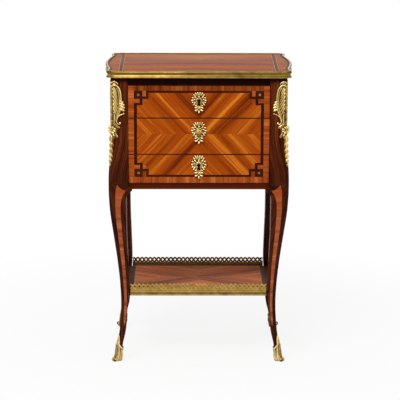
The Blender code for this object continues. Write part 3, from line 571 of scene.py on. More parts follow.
def leg_measures(z):
    """Outward set, width and canted corner of a leg at a height, stile included."""
    if z >= LEG_LENGTH:
        rise = min(max((z - LEG_LENGTH - FLARE_START) / FLARE_HEIGHT, 0.0), 1.0)
        outward = KNEE_SWELL * (1 + cos(pi * rise)) / 2
        return outward, STILE_WIDTH + outward, STILE_CANT
    stations = list(zip(LEG_SHARES, LEG_OUTWARD, LEG_WIDTH, LEG_CANT))
    stations.append((1.0, KNEE_SWELL, STILE_WIDTH + KNEE_SWELL, STILE_CANT))
    outward, width, cant = smooth_through(stations, z / LEG_LENGTH)
    rise = max(1 - (LEG_LENGTH - z) / BRACKET_DROP, 0.0)
    return outward, width + BRACKET_REACH * rise * sqrt(rise), cant

def corner_point(signs, out_x, out_y, z):
    """A point set out from one corner of the case."""
    return (signs[0] * (HALF_W + out_x), signs[1] * (HALF_D + out_y), z)

# Upper and lower end of the leg's inlaid panel, the hollow of its upper end and how far rings follow that
PANEL_PEAK = 0.4505
PANEL_TIP = 0.088
PANEL_DIP = 0.0150
PANEL_BLEND = 0.026
LEG_RINGS = 110
STILE_RINGS = 30
# Inlaid panel of a leg: height, set in from the leg's outer side, width, in millimetres
LEG_PANEL = (
    (88, 10.2, 0.1), (97, 8.6, 3.6), (107, 7.9, 5.2), (150, 7.9, 6.3), (200, 8.2, 7.1), (242, 8.9, 8.4),
    (299, 10.3, 9.6), (350, 12.0, 11.3), (397, 14.6, 12.4), (412, 15.6, 14.2), (425, 16.3, 18.5),
    (436, 17.4, 23.8), (450.5, 20.5, 18.0),
)

def panel_edges(z, outward, width):
    """Inner and outer edge of the leg's inlaid panel, drawn to a point at its foot."""
    level = min(max(z / MM, LEG_PANEL[0][0]), LEG_PANEL[-1][0])
    near, wide = smooth_through(LEG_PANEL, level)
    high = outward - near * MM
    return max(high - wide * MM, outward - width + 2 * ARRIS), high

def panel_level(level, share):
    """Height of a ring's point: rings near the panel's upper end follow its hollow slope."""
    weight = max(1 - abs(level - PANEL_PEAK) / PANEL_BLEND, 0.0)
    slope = PANEL_DIP * (1 - (1 - share) ** 1.6)
    return level - weight * slope

def leg_ring(level):
    """One ring of a leg: (u, v, z, girth mark) points about its case corner, heel first."""
    half = []

    def spot(mark, share, make):
        z = panel_level(level, share)
        outward, width, cant = leg_measures(z)
        return (*make(outward, outward - width, cant, z), z, mark)

    # half a ring: an inner face from the heel, its arris, the outer face with its panel, the edge of the cant
    for share in (0.0, 0.5, 1.0):
        half.append(spot("inner", 1.0, lambda o, i, c, z: (i + ARRIS + (o - i - 2 * ARRIS) * share, i)))
    for turn in (pi / 6, pi / 3):
        half.append(spot("arris", 1.0, lambda o, i, c, z: (o - ARRIS + ARRIS * sin(turn),
                                                           i + ARRIS - ARRIS * cos(turn))))
    half.append(spot("border", 1.0, lambda o, i, c, z: (o, i + ARRIS)))
    for share in (1.0, 0.75, 0.5, 0.25, 0.0):
        def on_panel(o, i, c, z):
            low, high = panel_edges(z, o, o - i)
            return o, high + (low - high) * share
        half.append(spot("panel", share, on_panel))
    half.append(spot("border", 0.0, lambda o, i, c, z: (o, o - c - SOFT_EDGE)))
    half.append(spot("cant", 0.0, lambda o, i, c, z: (o - SOFT_EDGE, o - c + SOFT_EDGE)))
    middle = spot("cant", 0.0, lambda o, i, c, z: (o - c / 2, o - c / 2))
    return half + [middle] + [(v, u, z, mark) for u, v, z, mark in reversed(half)]

def make_legs():
    """Four cabriole legs: amaranth, with a tulipwood panel down both outer faces."""
    levels = [LEG_FOOT + (PANEL_PEAK - LEG_FOOT) * step / LEG_RINGS for step in range(LEG_RINGS + 1)]
    stile = CASE_TOP - PANEL_PEAK
    levels += [PANEL_PEAK + stile * step / STILE_RINGS for step in range(1, STILE_RINGS + 1)]
    for leaf, (corner, signs) in enumerate(CORNERS.items()):
        piece = Piece("veneered_leg_" + corner)
        rings = []
        for level in levels:
            spots = leg_ring(level)
            numbers = [piece.point(corner_point(signs, u, v, z)) for u, v, z, mark in spots]
            around = [0.0]
            for one, two in zip(spots, spots[1:] + spots[:1]):
                around.append(around[-1] + sqrt((one[0] - two[0]) ** 2 + (one[1] - two[1]) ** 2))
            rings.append((level, spots, numbers, around))
        count = len(rings[0][2])
        shift = 1.3 * leaf
        for low, high in zip(rings, rings[1:]):
            middle_level = (low[0] + high[0]) / 2
            for here in range(count):
                after = (here + 1) % count
                on_panel = low[1][here][3] == "panel" and low[1][after][3] == "panel"
                inlaid = on_panel and PANEL_TIP < middle_level < PANEL_PEAK
                grain = [(ring[1][spot % count][2] + shift, ring[3][spot]) for ring, spot in
                         ((low, here), (low, here + 1), (high, here + 1), (high, here))]
                if inlaid:
                    grain = [(girth, height) for height, girth in grain]
                corners = (low[2][here], low[2][after], high[2][after], high[2][here])
                piece.face(corners, "tulipwood_leg" if inlaid else "amaranth", grain)
        for level, spots, numbers, around in (rings[0], rings[-1]):
            piece.face(tuple(numbers), "amaranth", [(spot[0] + shift, spot[1]) for spot in spots])
        piece.make("case", ["leg_" + corner], crease=28)

# Veneered sheets

def add_sheet(piece, spots, faces, choose, place):
    """A thin closed sheet over flat faces: choose gives a face's finish and grain from its middle."""
    front = [piece.point(place(*spot, VENEER + VENEER_BED)) for spot in spots]
    back = [piece.point(place(*spot, VENEER_BED)) for spot in spots]
    owner = {}
    for face in faces:
        middle = [sum(spots[number][axis] for number in face) / len(face) for axis in (0, 1)]
        finish, lay = choose(*middle)
        grain = [lay(*spots[number]) for number in face]
        piece.face(tuple(front[number] for number in face), finish, grain)
        piece.face(tuple(back[number] for number in reversed(face)), finish, grain[::-1])
        for one, two in zip(face, face[1:] + face[:1]):
            owner[(one, two)] = (finish, lay)
    for (one, two), (finish, lay) in owner.items():
        if (two, one) not in owner:
            grain = [lay(*spots[number]) for number in (two, one, one, two)]
            piece.face((front[two], front[one], back[one], back[two]), finish, grain)
            piece.soft_edges.append((front[one], front[two]))

def grid_sheet(piece, columns, rows, choose, place, hole=None):
    """A sheet cut into cells by straight lines both ways, left open where hole says so."""
    spots = [(along, up) for up in rows for along in columns]
    wide = len(columns)
    faces = []
    for row in range(len(rows) - 1):
        for column in range(wide - 1):
            middle = ((columns[column] + columns[column + 1]) / 2, (rows[row] + rows[row + 1]) / 2)
            if hole and hole(*middle):
                continue
            low = row * wide + column
            faces.append([low, low + 1, low + wide + 1, low + wide])
    add_sheet(piece, spots, faces, choose, place)

def cut_sheet(piece, outline, lines_x, lines_y, choose, place, lean=0.0):
    """A sheet with any outline, cut into pieces by straight lines; the first lines may lean outward."""
    shape = bmesh.new()
    shape.faces.new([shape.verts.new((x, y, 0.0)) for x, y in outline])
    cuts = [(Vector((line, 0, 0)), Vector((1, (line < 0) * lean - (line > 0) * lean, 0))) for line in lines_x]
    cuts += [(Vector((0, line, 0)), Vector((0, 1, 0))) for line in lines_y]
    for start, normal in cuts:
        geometry = shape.verts[:] + shape.edges[:] + shape.faces[:]
        bmesh.ops.bisect_plane(shape, geom=geometry, plane_co=start, plane_no=normal)
    shape.verts.index_update()
    spots = [(vert.co.x, vert.co.y) for vert in shape.verts]
    faces = [[vert.index for vert in face.verts] for face in shape.faces]
    shape.free()
    add_sheet(piece, spots, faces, choose, place)

def between_lines(lines, low, high):
    """Sorted lines inside a stretch, with its two ends."""
    margin = 0.0002
    inside = [line for line in lines if low + margin < line < high - margin]
    return [low] + sorted(set(round(line, 6) for line in inside)) + [high]

def laid(angle, leaf):
    """A grain at an angle to the first axis; each leaf of veneer is cut from another place."""
    ahead = (cos(angle), sin(angle))

    def lay(x, y):
        return x * ahead[0] + y * ahead[1] + 2.7 * leaf, y * ahead[0] - x * ahead[1] + 0.83 * leaf
    return lay

def quartered(angle, side, rise, middle, leaf):
    """A grain mirrored about both middle lines of a field; the lower quarters are of another leaf."""
    def lay(along, height):
        u = side * along
        v = rise * (height - middle)
        run = u * cos(angle) + v * sin(angle)
        across = u * sin(angle) - v * cos(angle)
        return run + 2.1 * leaf, across + (DRAWER_FIGURE.shift if rise < 0 else 0.0)
    return lay

# Corner key of the drawers' stringing: distances in from the crossband, across and down
KEY_SQUARE = (20.5 * MM, 19.6 * MM)
KEY_LIGHT = 13.7 * MM
KEY_PALE = 2.6 * MM
KEY_OUT = (28.6 * MM, 29.6 * MM)
KEY_END = (34.8 * MM, 34.8 * MM)
KEYHOLE_CLEAR = (5.6 * MM, 9.6 * MM)
# width of a dark strip along each drawer's joint, painted shadow of the gap
JOINT_SHADOW_STRIP = 0.8 * MM

def drawer_lines(reach, wide, key):
    """Cutting lines on one side of the middle, as distances from the middle."""
    middle = KEY_SQUARE[key] / 2
    steps = (0.0, wide, KEY_LIGHT, KEY_SQUARE[key], KEY_OUT[key], KEY_END[key])
    lines = [reach - CROSSBAND - step for step in (*steps, middle - KEY_PALE, middle + KEY_PALE)]
    return lines + [-line for line in lines] + [0.0]

def drawer_inlay(x, z):
    """Finish and grain of the drawers' marquetry at a place on the front."""
    reach = (STACK_TOP - STACK_FOOT) / 2
    up = z - STACK_MIDDLE
    a = STACK_HALF - abs(x) - CROSSBAND
    b = reach - abs(up) - CROSSBAND
    leaf = quarter_of(x, up)
    # the crossband under the top's overhang is a darker copy: painted shadow
    if b < min(a, 0) and up > 0:
        return "tulipwood_head", laid(pi / 2, 4 + leaf)
    if min(a, b) < 0:
        return "tulipwood_band", laid(0.0 if a < b else pi / 2, 4 + leaf)
    in_square = a < KEY_SQUARE[0] and b < KEY_SQUARE[1]
    pale = abs(a - KEY_SQUARE[0] / 2) < KEY_PALE and abs(b - KEY_SQUARE[1] / 2) < KEY_PALE
    if in_square and pale:
        return "tulipwood_key", laid(pi / 4, leaf)
    key = in_square
    key |= KEY_OUT[0] <= a < KEY_END[0] and b < KEY_SQUARE[1]
    key |= KEY_LIGHT <= a < KEY_END[0] and KEY_LIGHT <= b < KEY_SQUARE[1]
    key |= KEY_LIGHT <= a < KEY_SQUARE[0] and KEY_SQUARE[1] <= b < KEY_END[1]
    key |= a < KEY_SQUARE[0] and KEY_OUT[1] <= b < KEY_END[1]
    upright = a < STRING_WIDE and b >= KEY_END[1]
    level = b < STRING_FLAT and a >= KEY_END[0]
    if key or upright or level:
        return "stringing", laid(pi / 2 if upright else 0.0, leaf)
    if a < KEY_OUT[0] and b < KEY_OUT[1]:
        return "tulipwood_band", laid(pi / 2 if b < KEY_LIGHT and a > KEY_SQUARE[0] else 0.0, 9 + leaf)
    return "tulipwood_field", quartered(FIELD_ANGLE, sign_of(x), sign_of(up), STACK_MIDDLE, leaf)

def make_drawer_veneers():
    """Marquetry over the three drawer fronts, one design that runs from drawer to drawer."""
    reach = (STACK_TOP - STACK_FOOT) / 2
    lines_x = drawer_lines(STACK_HALF, STRING_WIDE, 0)
    lines_z = [STACK_MIDDLE + line for line in drawer_lines(reach, STRING_FLAT, 1)]
    lines_x += [KEYHOLE_CLEAR[0], -KEYHOLE_CLEAR[0]]
    for name in DRAWER_NAMES:
        low, high = DRAWER_BOXES[name]
        piece = Piece("marquetry_" + name)
        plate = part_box("escutcheon_" + name)
        keyhole = (plate[0].z + plate[1].z) / 2
        rows = lines_z
        hole = None
        if name != "middle":
            rows = lines_z + [keyhole - KEYHOLE_CLEAR[1], keyhole + KEYHOLE_CLEAR[1]]

            def hole(x, z, keyhole=keyhole):
                return abs(x) < KEYHOLE_CLEAR[0] and abs(z - keyhole) < KEYHOLE_CLEAR[1]

        def place(x, z, lift, face=low.y):
            return (x, face - lift, z)

        def choose(x, z, ends=(low.z + JOINT_SHADOW_STRIP, high.z - JOINT_SHADOW_STRIP)):
            if ends[0] < z < ends[1]:
                return drawer_inlay(x, z)
            # along the joints, a strip of dark stringing as painted shadow
            return "stringing", laid(0.0, 50)

        columns = between_lines(lines_x, low.x, high.x)
        rows = between_lines(rows + [low.z + JOINT_SHADOW_STRIP, high.z - JOINT_SHADOW_STRIP], low.z, high.z)
        grid_sheet(piece, columns, rows, choose, place, hole)
        piece.make(name + "_drawer")

def quarter_inlay(half, low, high, leaf):
    """A plainer quartered panel for the sides and the back: crossband, stringing, field."""
    middle = (low + high) / 2
    reach = (high - low) / 2
    lines_s = []
    lines_z = []
    for step in (0.0, SIDE_STRING):
        lines_s += [half - SIDE_BAND - step, step + SIDE_BAND - half]
        lines_z += [middle + reach - SIDE_BAND - step, middle - reach + SIDE_BAND + step]
    lines_s.append(0.0)
    lines_z.append(middle)
    angle = pi / 2 - FIELD_ANGLE

    def choose(s, z):
        a = half - abs(s) - SIDE_BAND
        b = reach - abs(z - middle) - SIDE_BAND
        if min(a, b) < 0:
            return "tulipwood_band", laid(0.0 if a < b else pi / 2, leaf)
        if min(a, b) < SIDE_STRING:
            return "stringing", laid(pi / 2 if a < b else 0.0, leaf)
        return "tulipwood_field", quartered(angle, sign_of(s), sign_of(z - middle), middle, leaf)
    return lines_s, lines_z, choose

def make_side_veneers():
    """Quartered veneer on the sides, bent with the stiles, and on the flat back."""
    low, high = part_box("side_panel_left")
    half = high.y
    steps = 16
    bends = [LEG_LENGTH + FLARE_START + FLARE_HEIGHT * step / steps for step in range(steps + 1)]
    for leaf, (side, sign) in enumerate((("left", -1), ("right", 1))):
        lines_s, lines_z, choose = quarter_inlay(half, low.z, high.z, 20 + leaf)

        def place(s, z, lift):
            return (sign * (HALF_W + leg_measures(z)[0] + lift), s, z)

        piece = Piece("veneer_" + side)
        rows = between_lines(lines_z + bends, low.z, high.z)
        grid_sheet(piece, between_lines(lines_s, -half, half), rows, choose, place)
        piece.make("case")
    low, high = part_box("back_panel")
    lines_s, lines_z, choose = quarter_inlay(high.x, low.z, high.z, 24)
    piece = Piece("veneer_back")
    columns = between_lines(lines_s, low.x, high.x)
    rows = between_lines(lines_z, low.z, high.z)
    grid_sheet(piece, columns, rows, choose, lambda s, z, lift: (s, high.y + lift, z))
    piece.make("case")

# Top

TOP_OVERHANG = 0.010
EAR_CANT_X = 0.022
EAR_CANT_Y = 0.013
EAR_LENGTH = 0.052
NOTCH_DEPTH = 0.003
SIDE_SWELL = 0.011
RIM_THICKNESS = 0.006
SWELL_STEPS = 40
RIM_JOINT = 0.00015
TOP_STRIP = (0.1840, 0.1915)
# the strips spread a little towards the back
STRIP_LEAN = 0.014
TOP_LINE = 0.0011
# dark border along the ends, and how fast the quarters' streaks spread from the middle
TOP_BORDER = 0.0042
TOP_SPREAD = 0.11

def top_plan():
    """Outer plan of the rim in two halves, right and left, each from ear to ear."""
    ear_x = HALF_W + TOP_OVERHANG
    edge_y = HALF_D + TOP_OVERHANG
    notch_y = edge_y - EAR_LENGTH
    notch_x = ear_x - NOTCH_DEPTH
    cant_start = (ear_x - EAR_CANT_X, -edge_y)
    ear = (ear_x, EAR_CANT_Y - edge_y)
    side = []
    for step in range(SWELL_STEPS + 1):
        share = step / SWELL_STEPS
        side.append((notch_x + SIDE_SWELL * sin(pi * share), notch_y * (2 * share - 1)))
    right = [cant_start, ear] + side + [(ear[0], -ear[1]), (cant_start[0], -cant_start[1])]
    left = [(-x, y) for x, y in reversed(right)]
    return right, left

def set_in(path, distance, closed):
    """Moves a plan path inward, to its left, with mitred corners."""
    count = len(path)
    moved = []
    for spot in range(count):
        here = Vector(path[spot])
        before = Vector(path[spot - 1]) if closed or spot > 0 else None
        after = Vector(path[(spot + 1) % count]) if closed or spot < count - 1 else None
        normals = []
        for start, end in ((before, here), (here, after)):
            if start is not None and end is not None:
                run = (end - start).normalized()
                normals.append(Vector((-run.y, run.x)))
        mitre = sum(normals, Vector((0, 0))).normalized()
        moved.append(here + mitre * distance / mitre.dot(normals[0]))
    return moved

def arc(centre, radius, start, end, steps):
    """Points on an arc in a moulding's section: inset and height in millimetres, angles in degrees."""
    made = []
    for step in range(steps + 1):
        angle = radians(start + (end - start) * step / steps)
        made.append((centre[0] - radius * cos(angle), centre[1] + radius * sin(angle)))
    return made

def rim_section(side):
    """Moulding of the rim: lower bead, cove and upper torus, in millimetres, with relief for the patina and
    for painted reflections.
    """
    torus, *upper = RIM_PATINA_AND_PAINTED_LIGHT[side]
    made = [(6.0, 0.0, 0.0), (2.2, 0.0, 0.1)]
    made += [(inset, height, 0.38) for inset, height in arc((2.1, 2.1), 2.1, -80, 75, 8)]
    made += [(1.75, 4.5, 0.20), (1.45, 5.0, 0.25)]
    cove_steps = 8
    for step in range(1, cove_steps + 1):
        share = step / cove_steps
        hollow = sin(pi * share)
        made.append((1.35 + 1.5 * hollow, 5.0 + 6.2 * share, 0.38 - 0.06 * hollow))
    made += [(1.15, 11.7, 0.22)]
    made += [(inset, height, torus) for inset, height in arc((2.35, 14.0), 2.3, -50, 60, 7)]
    flat = ((2.4, 16.9), (3.2, 17.0), (4.6, 17.0), (5.4, 16.8), (6.0, 16.2))
    made += [(inset, height, tone) for (inset, height), tone in zip(flat, upper)]
    return made

# Pins of the rim: places along it, then height over its foot, radius and rise, and the cove's depth
PIN_PLACES = (-0.157, 0.145)
RIM_PIN = (8.1, 1.1, 0.8)
COVE_DEPTH = 0.0030
# Patina of the rim, with painted highlights and painted reflections that differ from side to side: torus,
# then five lines over the upper edge from the outside in
RIM_PATINA_AND_PAINTED_LIGHT = {
    "front": (0.30, 0.15, 0.48, 0.48, 0.22, 0.15),
    "back": (0.30, 0.30, 0.70, 0.70, 0.50, 0.30),
    "left": (0.12, 0.60, 0.95, 0.70, 0.12, 0.05),
    "right": (0.12, 0.60, 0.95, 0.70, 0.12, 0.05),
}

def make_rim():
    """Gilt rim in four lengths that meet on the canted ears, held by small pins."""
    right, left = top_plan()
    plan = [Vector(point) for point in right + left]
    half = len(right)

    def joint(start, end, ahead):
        middle = (start + end) / 2
        return middle + (end - start).normalized() * (RIM_JOINT if ahead else -RIM_JOINT)

    front_right = (plan[0], plan[1])
    back_right = (plan[half - 2], plan[half - 1])
    back_left = (plan[half], plan[half + 1])
    front_left = (plan[-2], plan[-1])
    lengths = {
        "right": [joint(*front_right, True)] + plan[1:half - 1] + [joint(*back_right, False)],
        "back": [joint(*back_right, True), plan[half - 1], plan[half], joint(*back_left, False)],
        "left": [joint(*back_left, True)] + plan[half + 1:-1] + [joint(*front_left, False)],
        "front": [joint(*front_left, True), plan[-1], plan[0], joint(*front_right, False)],
    }
    for side, path in lengths.items():
        section = rim_section(side)
        piece = Piece("rim_" + side)
        moved = [set_in(path, inset * MM, closed=False) for inset, height, relief in section]
        rings = []
        for spot in range(len(path)):
            rings.append([piece.point((row[spot].x, row[spot].y, TOP_FOOT + height * MM), relief)
                          for row, (inset, height, relief) in zip(moved, section)])
        piece.skin(rings, piece.metal)
        if side in ("front", "back"):
            facing = -1 if side == "front" else 1

            def place(x, z, lift):
                return (x * MM, facing * (HALF_D + TOP_OVERHANG - COVE_DEPTH + lift * MM), TOP_FOOT + z * MM)

            for x in PIN_PLACES:
                bead(piece, x / MM, *RIM_PIN, place, worn=0.0)
        piece.make("case", ["top_rim_" + side], crease=32)

def make_top_veneer():
    """Veneer on the top: quartered field, a strip with pale lines near each end, a dark border at the end."""
    right, left = top_plan()
    half = len(right)
    inset = RIM_THICKNESS + 2 * SOFT_EDGE
    edge, field = [[(p.x, p.y) for p in set_in(right + left, inset + border, closed=True)]
                   for border in (0.0, TOP_BORDER)]
    outline = [edge[0]] + field[1:half - 1] + edge[half - 1:half + 1] + field[half + 1:-1] + [edge[-1]]
    inner, outer = TOP_STRIP
    lines = [0.0]
    for line in (inner - TOP_LINE, inner, outer, outer + TOP_LINE):
        lines += [line, -line]

    def choose(x, y):
        reach = abs(x) - STRIP_LEAN * y
        leaf = 1 if x > 0 else 0
        if inner <= reach < outer:
            return "amaranth_flat", laid(pi / 2, 30 + leaf)
        if inner - TOP_LINE <= reach < outer + TOP_LINE:
            return "pale_wood", laid(pi / 2, 32 + leaf)
        if reach >= outer:
            return "tulipwood_top", laid(0.0, 34 + leaf)
        side = 1 if x > 0 else -1
        shift = TOP_FIGURE.shift if y < 0 else 0.0

        def lay(along, up):
            return side * along + 1.7, abs(up) - TOP_SPREAD * abs(along) + shift
        return "tulipwood_top", lay

    def on_top(x, y, lift):
        return (x, y, TOP_FACE + lift)

    piece = Piece("veneer_top")
    cut_sheet(piece, outline, lines, [0.0], choose, on_top, STRIP_LEAN)
    for start in (0, half):
        count = half - 2
        spots = edge[start:start + half] + field[start + 1:start + half - 1]
        faces = [[0, 1, half], [half - 2, half - 1, half + count - 1]]
        faces += [[spot, spot + 1, half + spot, half + spot - 1] for spot in range(1, count)]
        add_sheet(piece, spots, faces, lambda x, y: ("amaranth_flat", laid(pi / 2, 36)), on_top)
    piece.make("case")

# Shelf and gallery

GALLERY_SETBACK = 0.003
GALLERY_RETURN = 0.007
GALLERY_THICKNESS = 0.0022
END_TURN = 0.003
GALLERY_PITCH = 0.0108
BAND_HEIGHT = 0.0105
FIT = 0.0003
SHELF_BORDER = (0.024, 0.014)
SHELF_LINE = 0.0010
SHELF_ANGLE = radians(28)

def leg_faces(low, high):
    """Tightest inner and outer set of a leg's faces between two heights."""
    measures = [leg_measures(low + (high - low) * step / 4) for step in range(5)]
    inner = min(outward - width for outward, width, cant in measures)
    outer = min(outward for outward, width, cant in measures)
    return inner, outer

def shelf_reach():
    """Half sizes of the shelf: to the legs' inner faces and to the gallery's outer faces."""
    inner, outer = leg_faces(GALLERY_FOOT, GALLERY_HEAD)
    to_legs = (HALF_W + inner - FIT, HALF_D + inner - FIT)
    to_face = (HALF_W + outer - GALLERY_SETBACK, HALF_D + outer - GALLERY_SETBACK)
    return to_legs, to_face

def make_shelf_veneer():
    """Veneer on the shelf: quartered field, a pale line and an amaranth border."""
    to_legs, to_face = shelf_reach()
    step_in = GALLERY_THICKNESS + 2 * FIT
    edge = (to_face[0] - step_in, to_face[1] - step_in)
    cant = GALLERY_RETURN + step_in * (sqrt(2) - 1)
    quarter = [
        (to_legs[0] - cant, edge[1]),
        (to_legs[0] - FIT, edge[1] - cant),
        (to_legs[0] - FIT, to_legs[1] - FIT),
        (edge[0] - cant, to_legs[1] - FIT),
        (edge[0], to_legs[1] - cant),
    ]
    outline = quarter + [(x, -y) for x, y in reversed(quarter)]
    outline += [(-x, -y) for x, y in quarter] + [(-x, y) for x, y in reversed(quarter)]
    field = (edge[0] - SHELF_BORDER[0], edge[1] - SHELF_BORDER[1])

    def choose(x, y):
        a = field[0] - abs(x)
        b = field[1] - abs(y)
        leaf = (1 if x > 0 else 0) + (2 if y > 0 else 0)
        if min(a, b) < 0:
            return "amaranth_flat", laid(pi / 2 if a < b else 0.0, 40 + leaf)
        if min(a, b) < SHELF_LINE:
            return "pale_wood", laid(pi / 2 if a < b else 0.0, 44 + leaf)
        side = 1 if x > 0 else -1
        depth = 1 if y > 0 else -1

        def quartered(along, back):
            u = side * along
            v = depth * back
            return (u * cos(SHELF_ANGLE) + v * sin(SHELF_ANGLE) + 1.9 * leaf,
                    v * cos(SHELF_ANGLE) - u * sin(SHELF_ANGLE) + (SHELF_FIGURE.shift if depth < 0 else 0.0))
        return "tulipwood_shelf", quartered

    piece = Piece("veneer_shelf")
    lines_x, lines_y = [[0.0, end, -end, end - SHELF_LINE, SHELF_LINE - end] for end in field]
    cut_sheet(piece, outline, lines_x, lines_y, choose, lambda x, y, lift: (x, y, SHELF_FACE + lift))
    piece.make("case")

# The band's section: out from the gallery's middle and up from its foot in millimetres, relief
BAND_SECTION = (
    (-1.10, 0.0, 0.45), (0.60, 0.0, 0.3), (1.05, 0.4, 0.50), (1.20, 1.2, 0.58), (1.20, 2.6, 0.54),
    (1.05, 4.2, 0.48), (0.75, 5.0, 0.35), (0.25, 5.8, 0.05), (0.20, 7.0, 0.0), (0.55, 7.8, 0.3),
    (1.00, 8.4, 0.55), (1.20, 9.4, 0.72), (1.10, 11.5, 0.5), (0.95, 14.0, 0.46), (1.15, 15.4, 0.62),
    (1.00, 16.6, 0.55), (0.60, 17.1, 0.3), (-1.10, 17.1, 0.55),
)
BAND_SHARE = 0.85
GALLERY_SILL = 0.0066
STRAND_LIFT = 0.0006
STRAND_WIDE = 0.0047
STRAND_DEEP = 0.0015
STRAND_WEAVE = 0.00032
STRAND_SIDES = 8
STRAND_STEPS = 12
# Pins of the band: share of the half length, then height over the foot, radius and rise in millimetres
BAND_PIN = (0.62, 2.2, 1.1, 0.5)

def make_galleries():
    """Pierced gallery: two interlaced strands on a moulded band, in four lengths turned in at the ends."""
    to_legs, to_face = shelf_reach()
    runs = {
        "front": (to_legs[0], to_face[1], 0),
        "right": (to_legs[1], to_face[0], 90),
        "back": (to_legs[0], to_face[1], 180),
        "left": (to_legs[1], to_face[0], 270),
    }
    foot = GALLERY_FOOT + BAND_HEIGHT + GALLERY_SILL + STRAND_LIFT
    rise = GALLERY_HEAD - STRAND_WIDE / 2 - foot
    for side, (reach, face, turn) in runs.items():
        straight = reach - END_TURN
        count = max(int(2 * straight / GALLERY_PITCH + 0.5), 2)
        pitch = 2 * straight / count
        about = Matrix.Rotation(radians(turn), 3, "Z")
        middle = GALLERY_THICKNESS / 2

        def place(along, up, lift):
            """Along the gallery, up, and out from its middle; the last pitch at each end turns in."""
            sign = 1 if along > 0 else -1
            past = max(abs(along) - straight, 0.0) / pitch * END_TURN
            x = min(abs(along), straight) + past
            y = past - face + middle
            lean = min(past / (0.4 * END_TURN), 1.0) * pi / 4
            x += (lift - middle * 0.8 * (lean > 0)) * sin(lean)
            y -= lift * cos(lean)
            return about @ Vector((sign * x, y, up))

        piece = Piece("gilt_gallery_" + side)
        end = straight + 0.985 * pitch
        stops = [-end, -straight - 0.4 * pitch, -straight - 0.1 * pitch]
        stops += [straight * (step / 12 - 1) for step in range(25)]
        stops += [straight + 0.1 * pitch, straight + 0.4 * pitch, end]
        rings = []
        for along in stops:
            rings.append([piece.point(place(along, GALLERY_FOOT + up * MM, out * MM * BAND_SHARE), relief)
                          for out, up, relief in BAND_SECTION])
        piece.skin(rings, piece.metal)
        for strand in (0, 1):
            weave_strand(piece, pitch * (strand - count / 2), pitch, rise, foot, end, place)

        def on_band(along, up, lift):
            return place(along * MM, GALLERY_FOOT + up * MM, 0.0008 + lift * MM)

        for sign in (-1, 1):
            along = sign * BAND_PIN[0] * straight / MM
            bead(piece, along, *BAND_PIN[1:], on_band, rounds=8, rows=3, worn=0.0)
        piece.make("case", ["gallery_" + side], crease=50)

def weave_strand(piece, crown, pitch, rise, foot, limit, place):
    """One waved strand from end to end, before the other strand at one crossing and behind it at the next."""
    count = int(2 * limit / pitch * STRAND_STEPS)
    rings = []
    for step in range(count + 1):
        along = limit * (2 * step / count - 1)
        turn = pi * (along - crown) / pitch
        slope = -pi * rise / (2 * pitch) * sin(turn)
        out = Vector((-slope, 1.0)).normalized()
        up = foot + rise * (1 + cos(turn)) / 2
        shift = STRAND_WEAVE * sin(turn)
        ring = []
        for side in range(STRAND_SIDES):
            angle = 2 * pi * side / STRAND_SIDES
            across = STRAND_WIDE / 2 * cos(angle)
            lift = STRAND_DEEP / 2 * sin(angle)
            ahead = min(max(along + out.x * across, -limit), limit)
            spot = place(ahead, up + out.y * across, lift + shift)
            # strands lighter on their outer side and painted shade on their inner side
            ring.append(piece.point(spot, 0.34 + 0.22 * sin(angle)))
        rings.append(ring)
    piece.skin(rings, piece.metal)

# Corner mounts

CHUTE_TOP_GAP = 0.006
# Backing of the mount: millimetres down from its top, half width along the girth
CHUTE_BACKING = (
    (1.5, 6.0), (6, 11.0), (14, 16.0), (24, 20.0), (36, 22.0), (48, 23.5), (56, 26.0), (66, 27.5),
    (74, 25.0), (80, 19.0), (86, 14.5), (94, 13.0), (100, 15.0), (106, 16.0), (114, 14.5), (122, 12.5),
    (130, 10.5), (136, 8.5), (141, 5.4), (152, 4.2), (166, 3.6), (180, 3.0), (194, 2.4), (204, 1.0),
)
BACKING_SHARES = (-1.0, -0.8, -0.5, -0.2, 0.0, 0.2, 0.5, 0.8, 1.0)
# Beside the cant the mount is flatter: girth where this starts and is full, then the share of lift left
CHUTE_FLAT = {True: (4.0, 9.0), False: (0.5, 4.5)}
FRONT_LIFT = 0.90
SIDE_LIFT = 0.28
CHUTE_TONE = 0.27
# the leaflets up the corner are drawn darker: share of their tone
CORNER_DARKER = 0.58
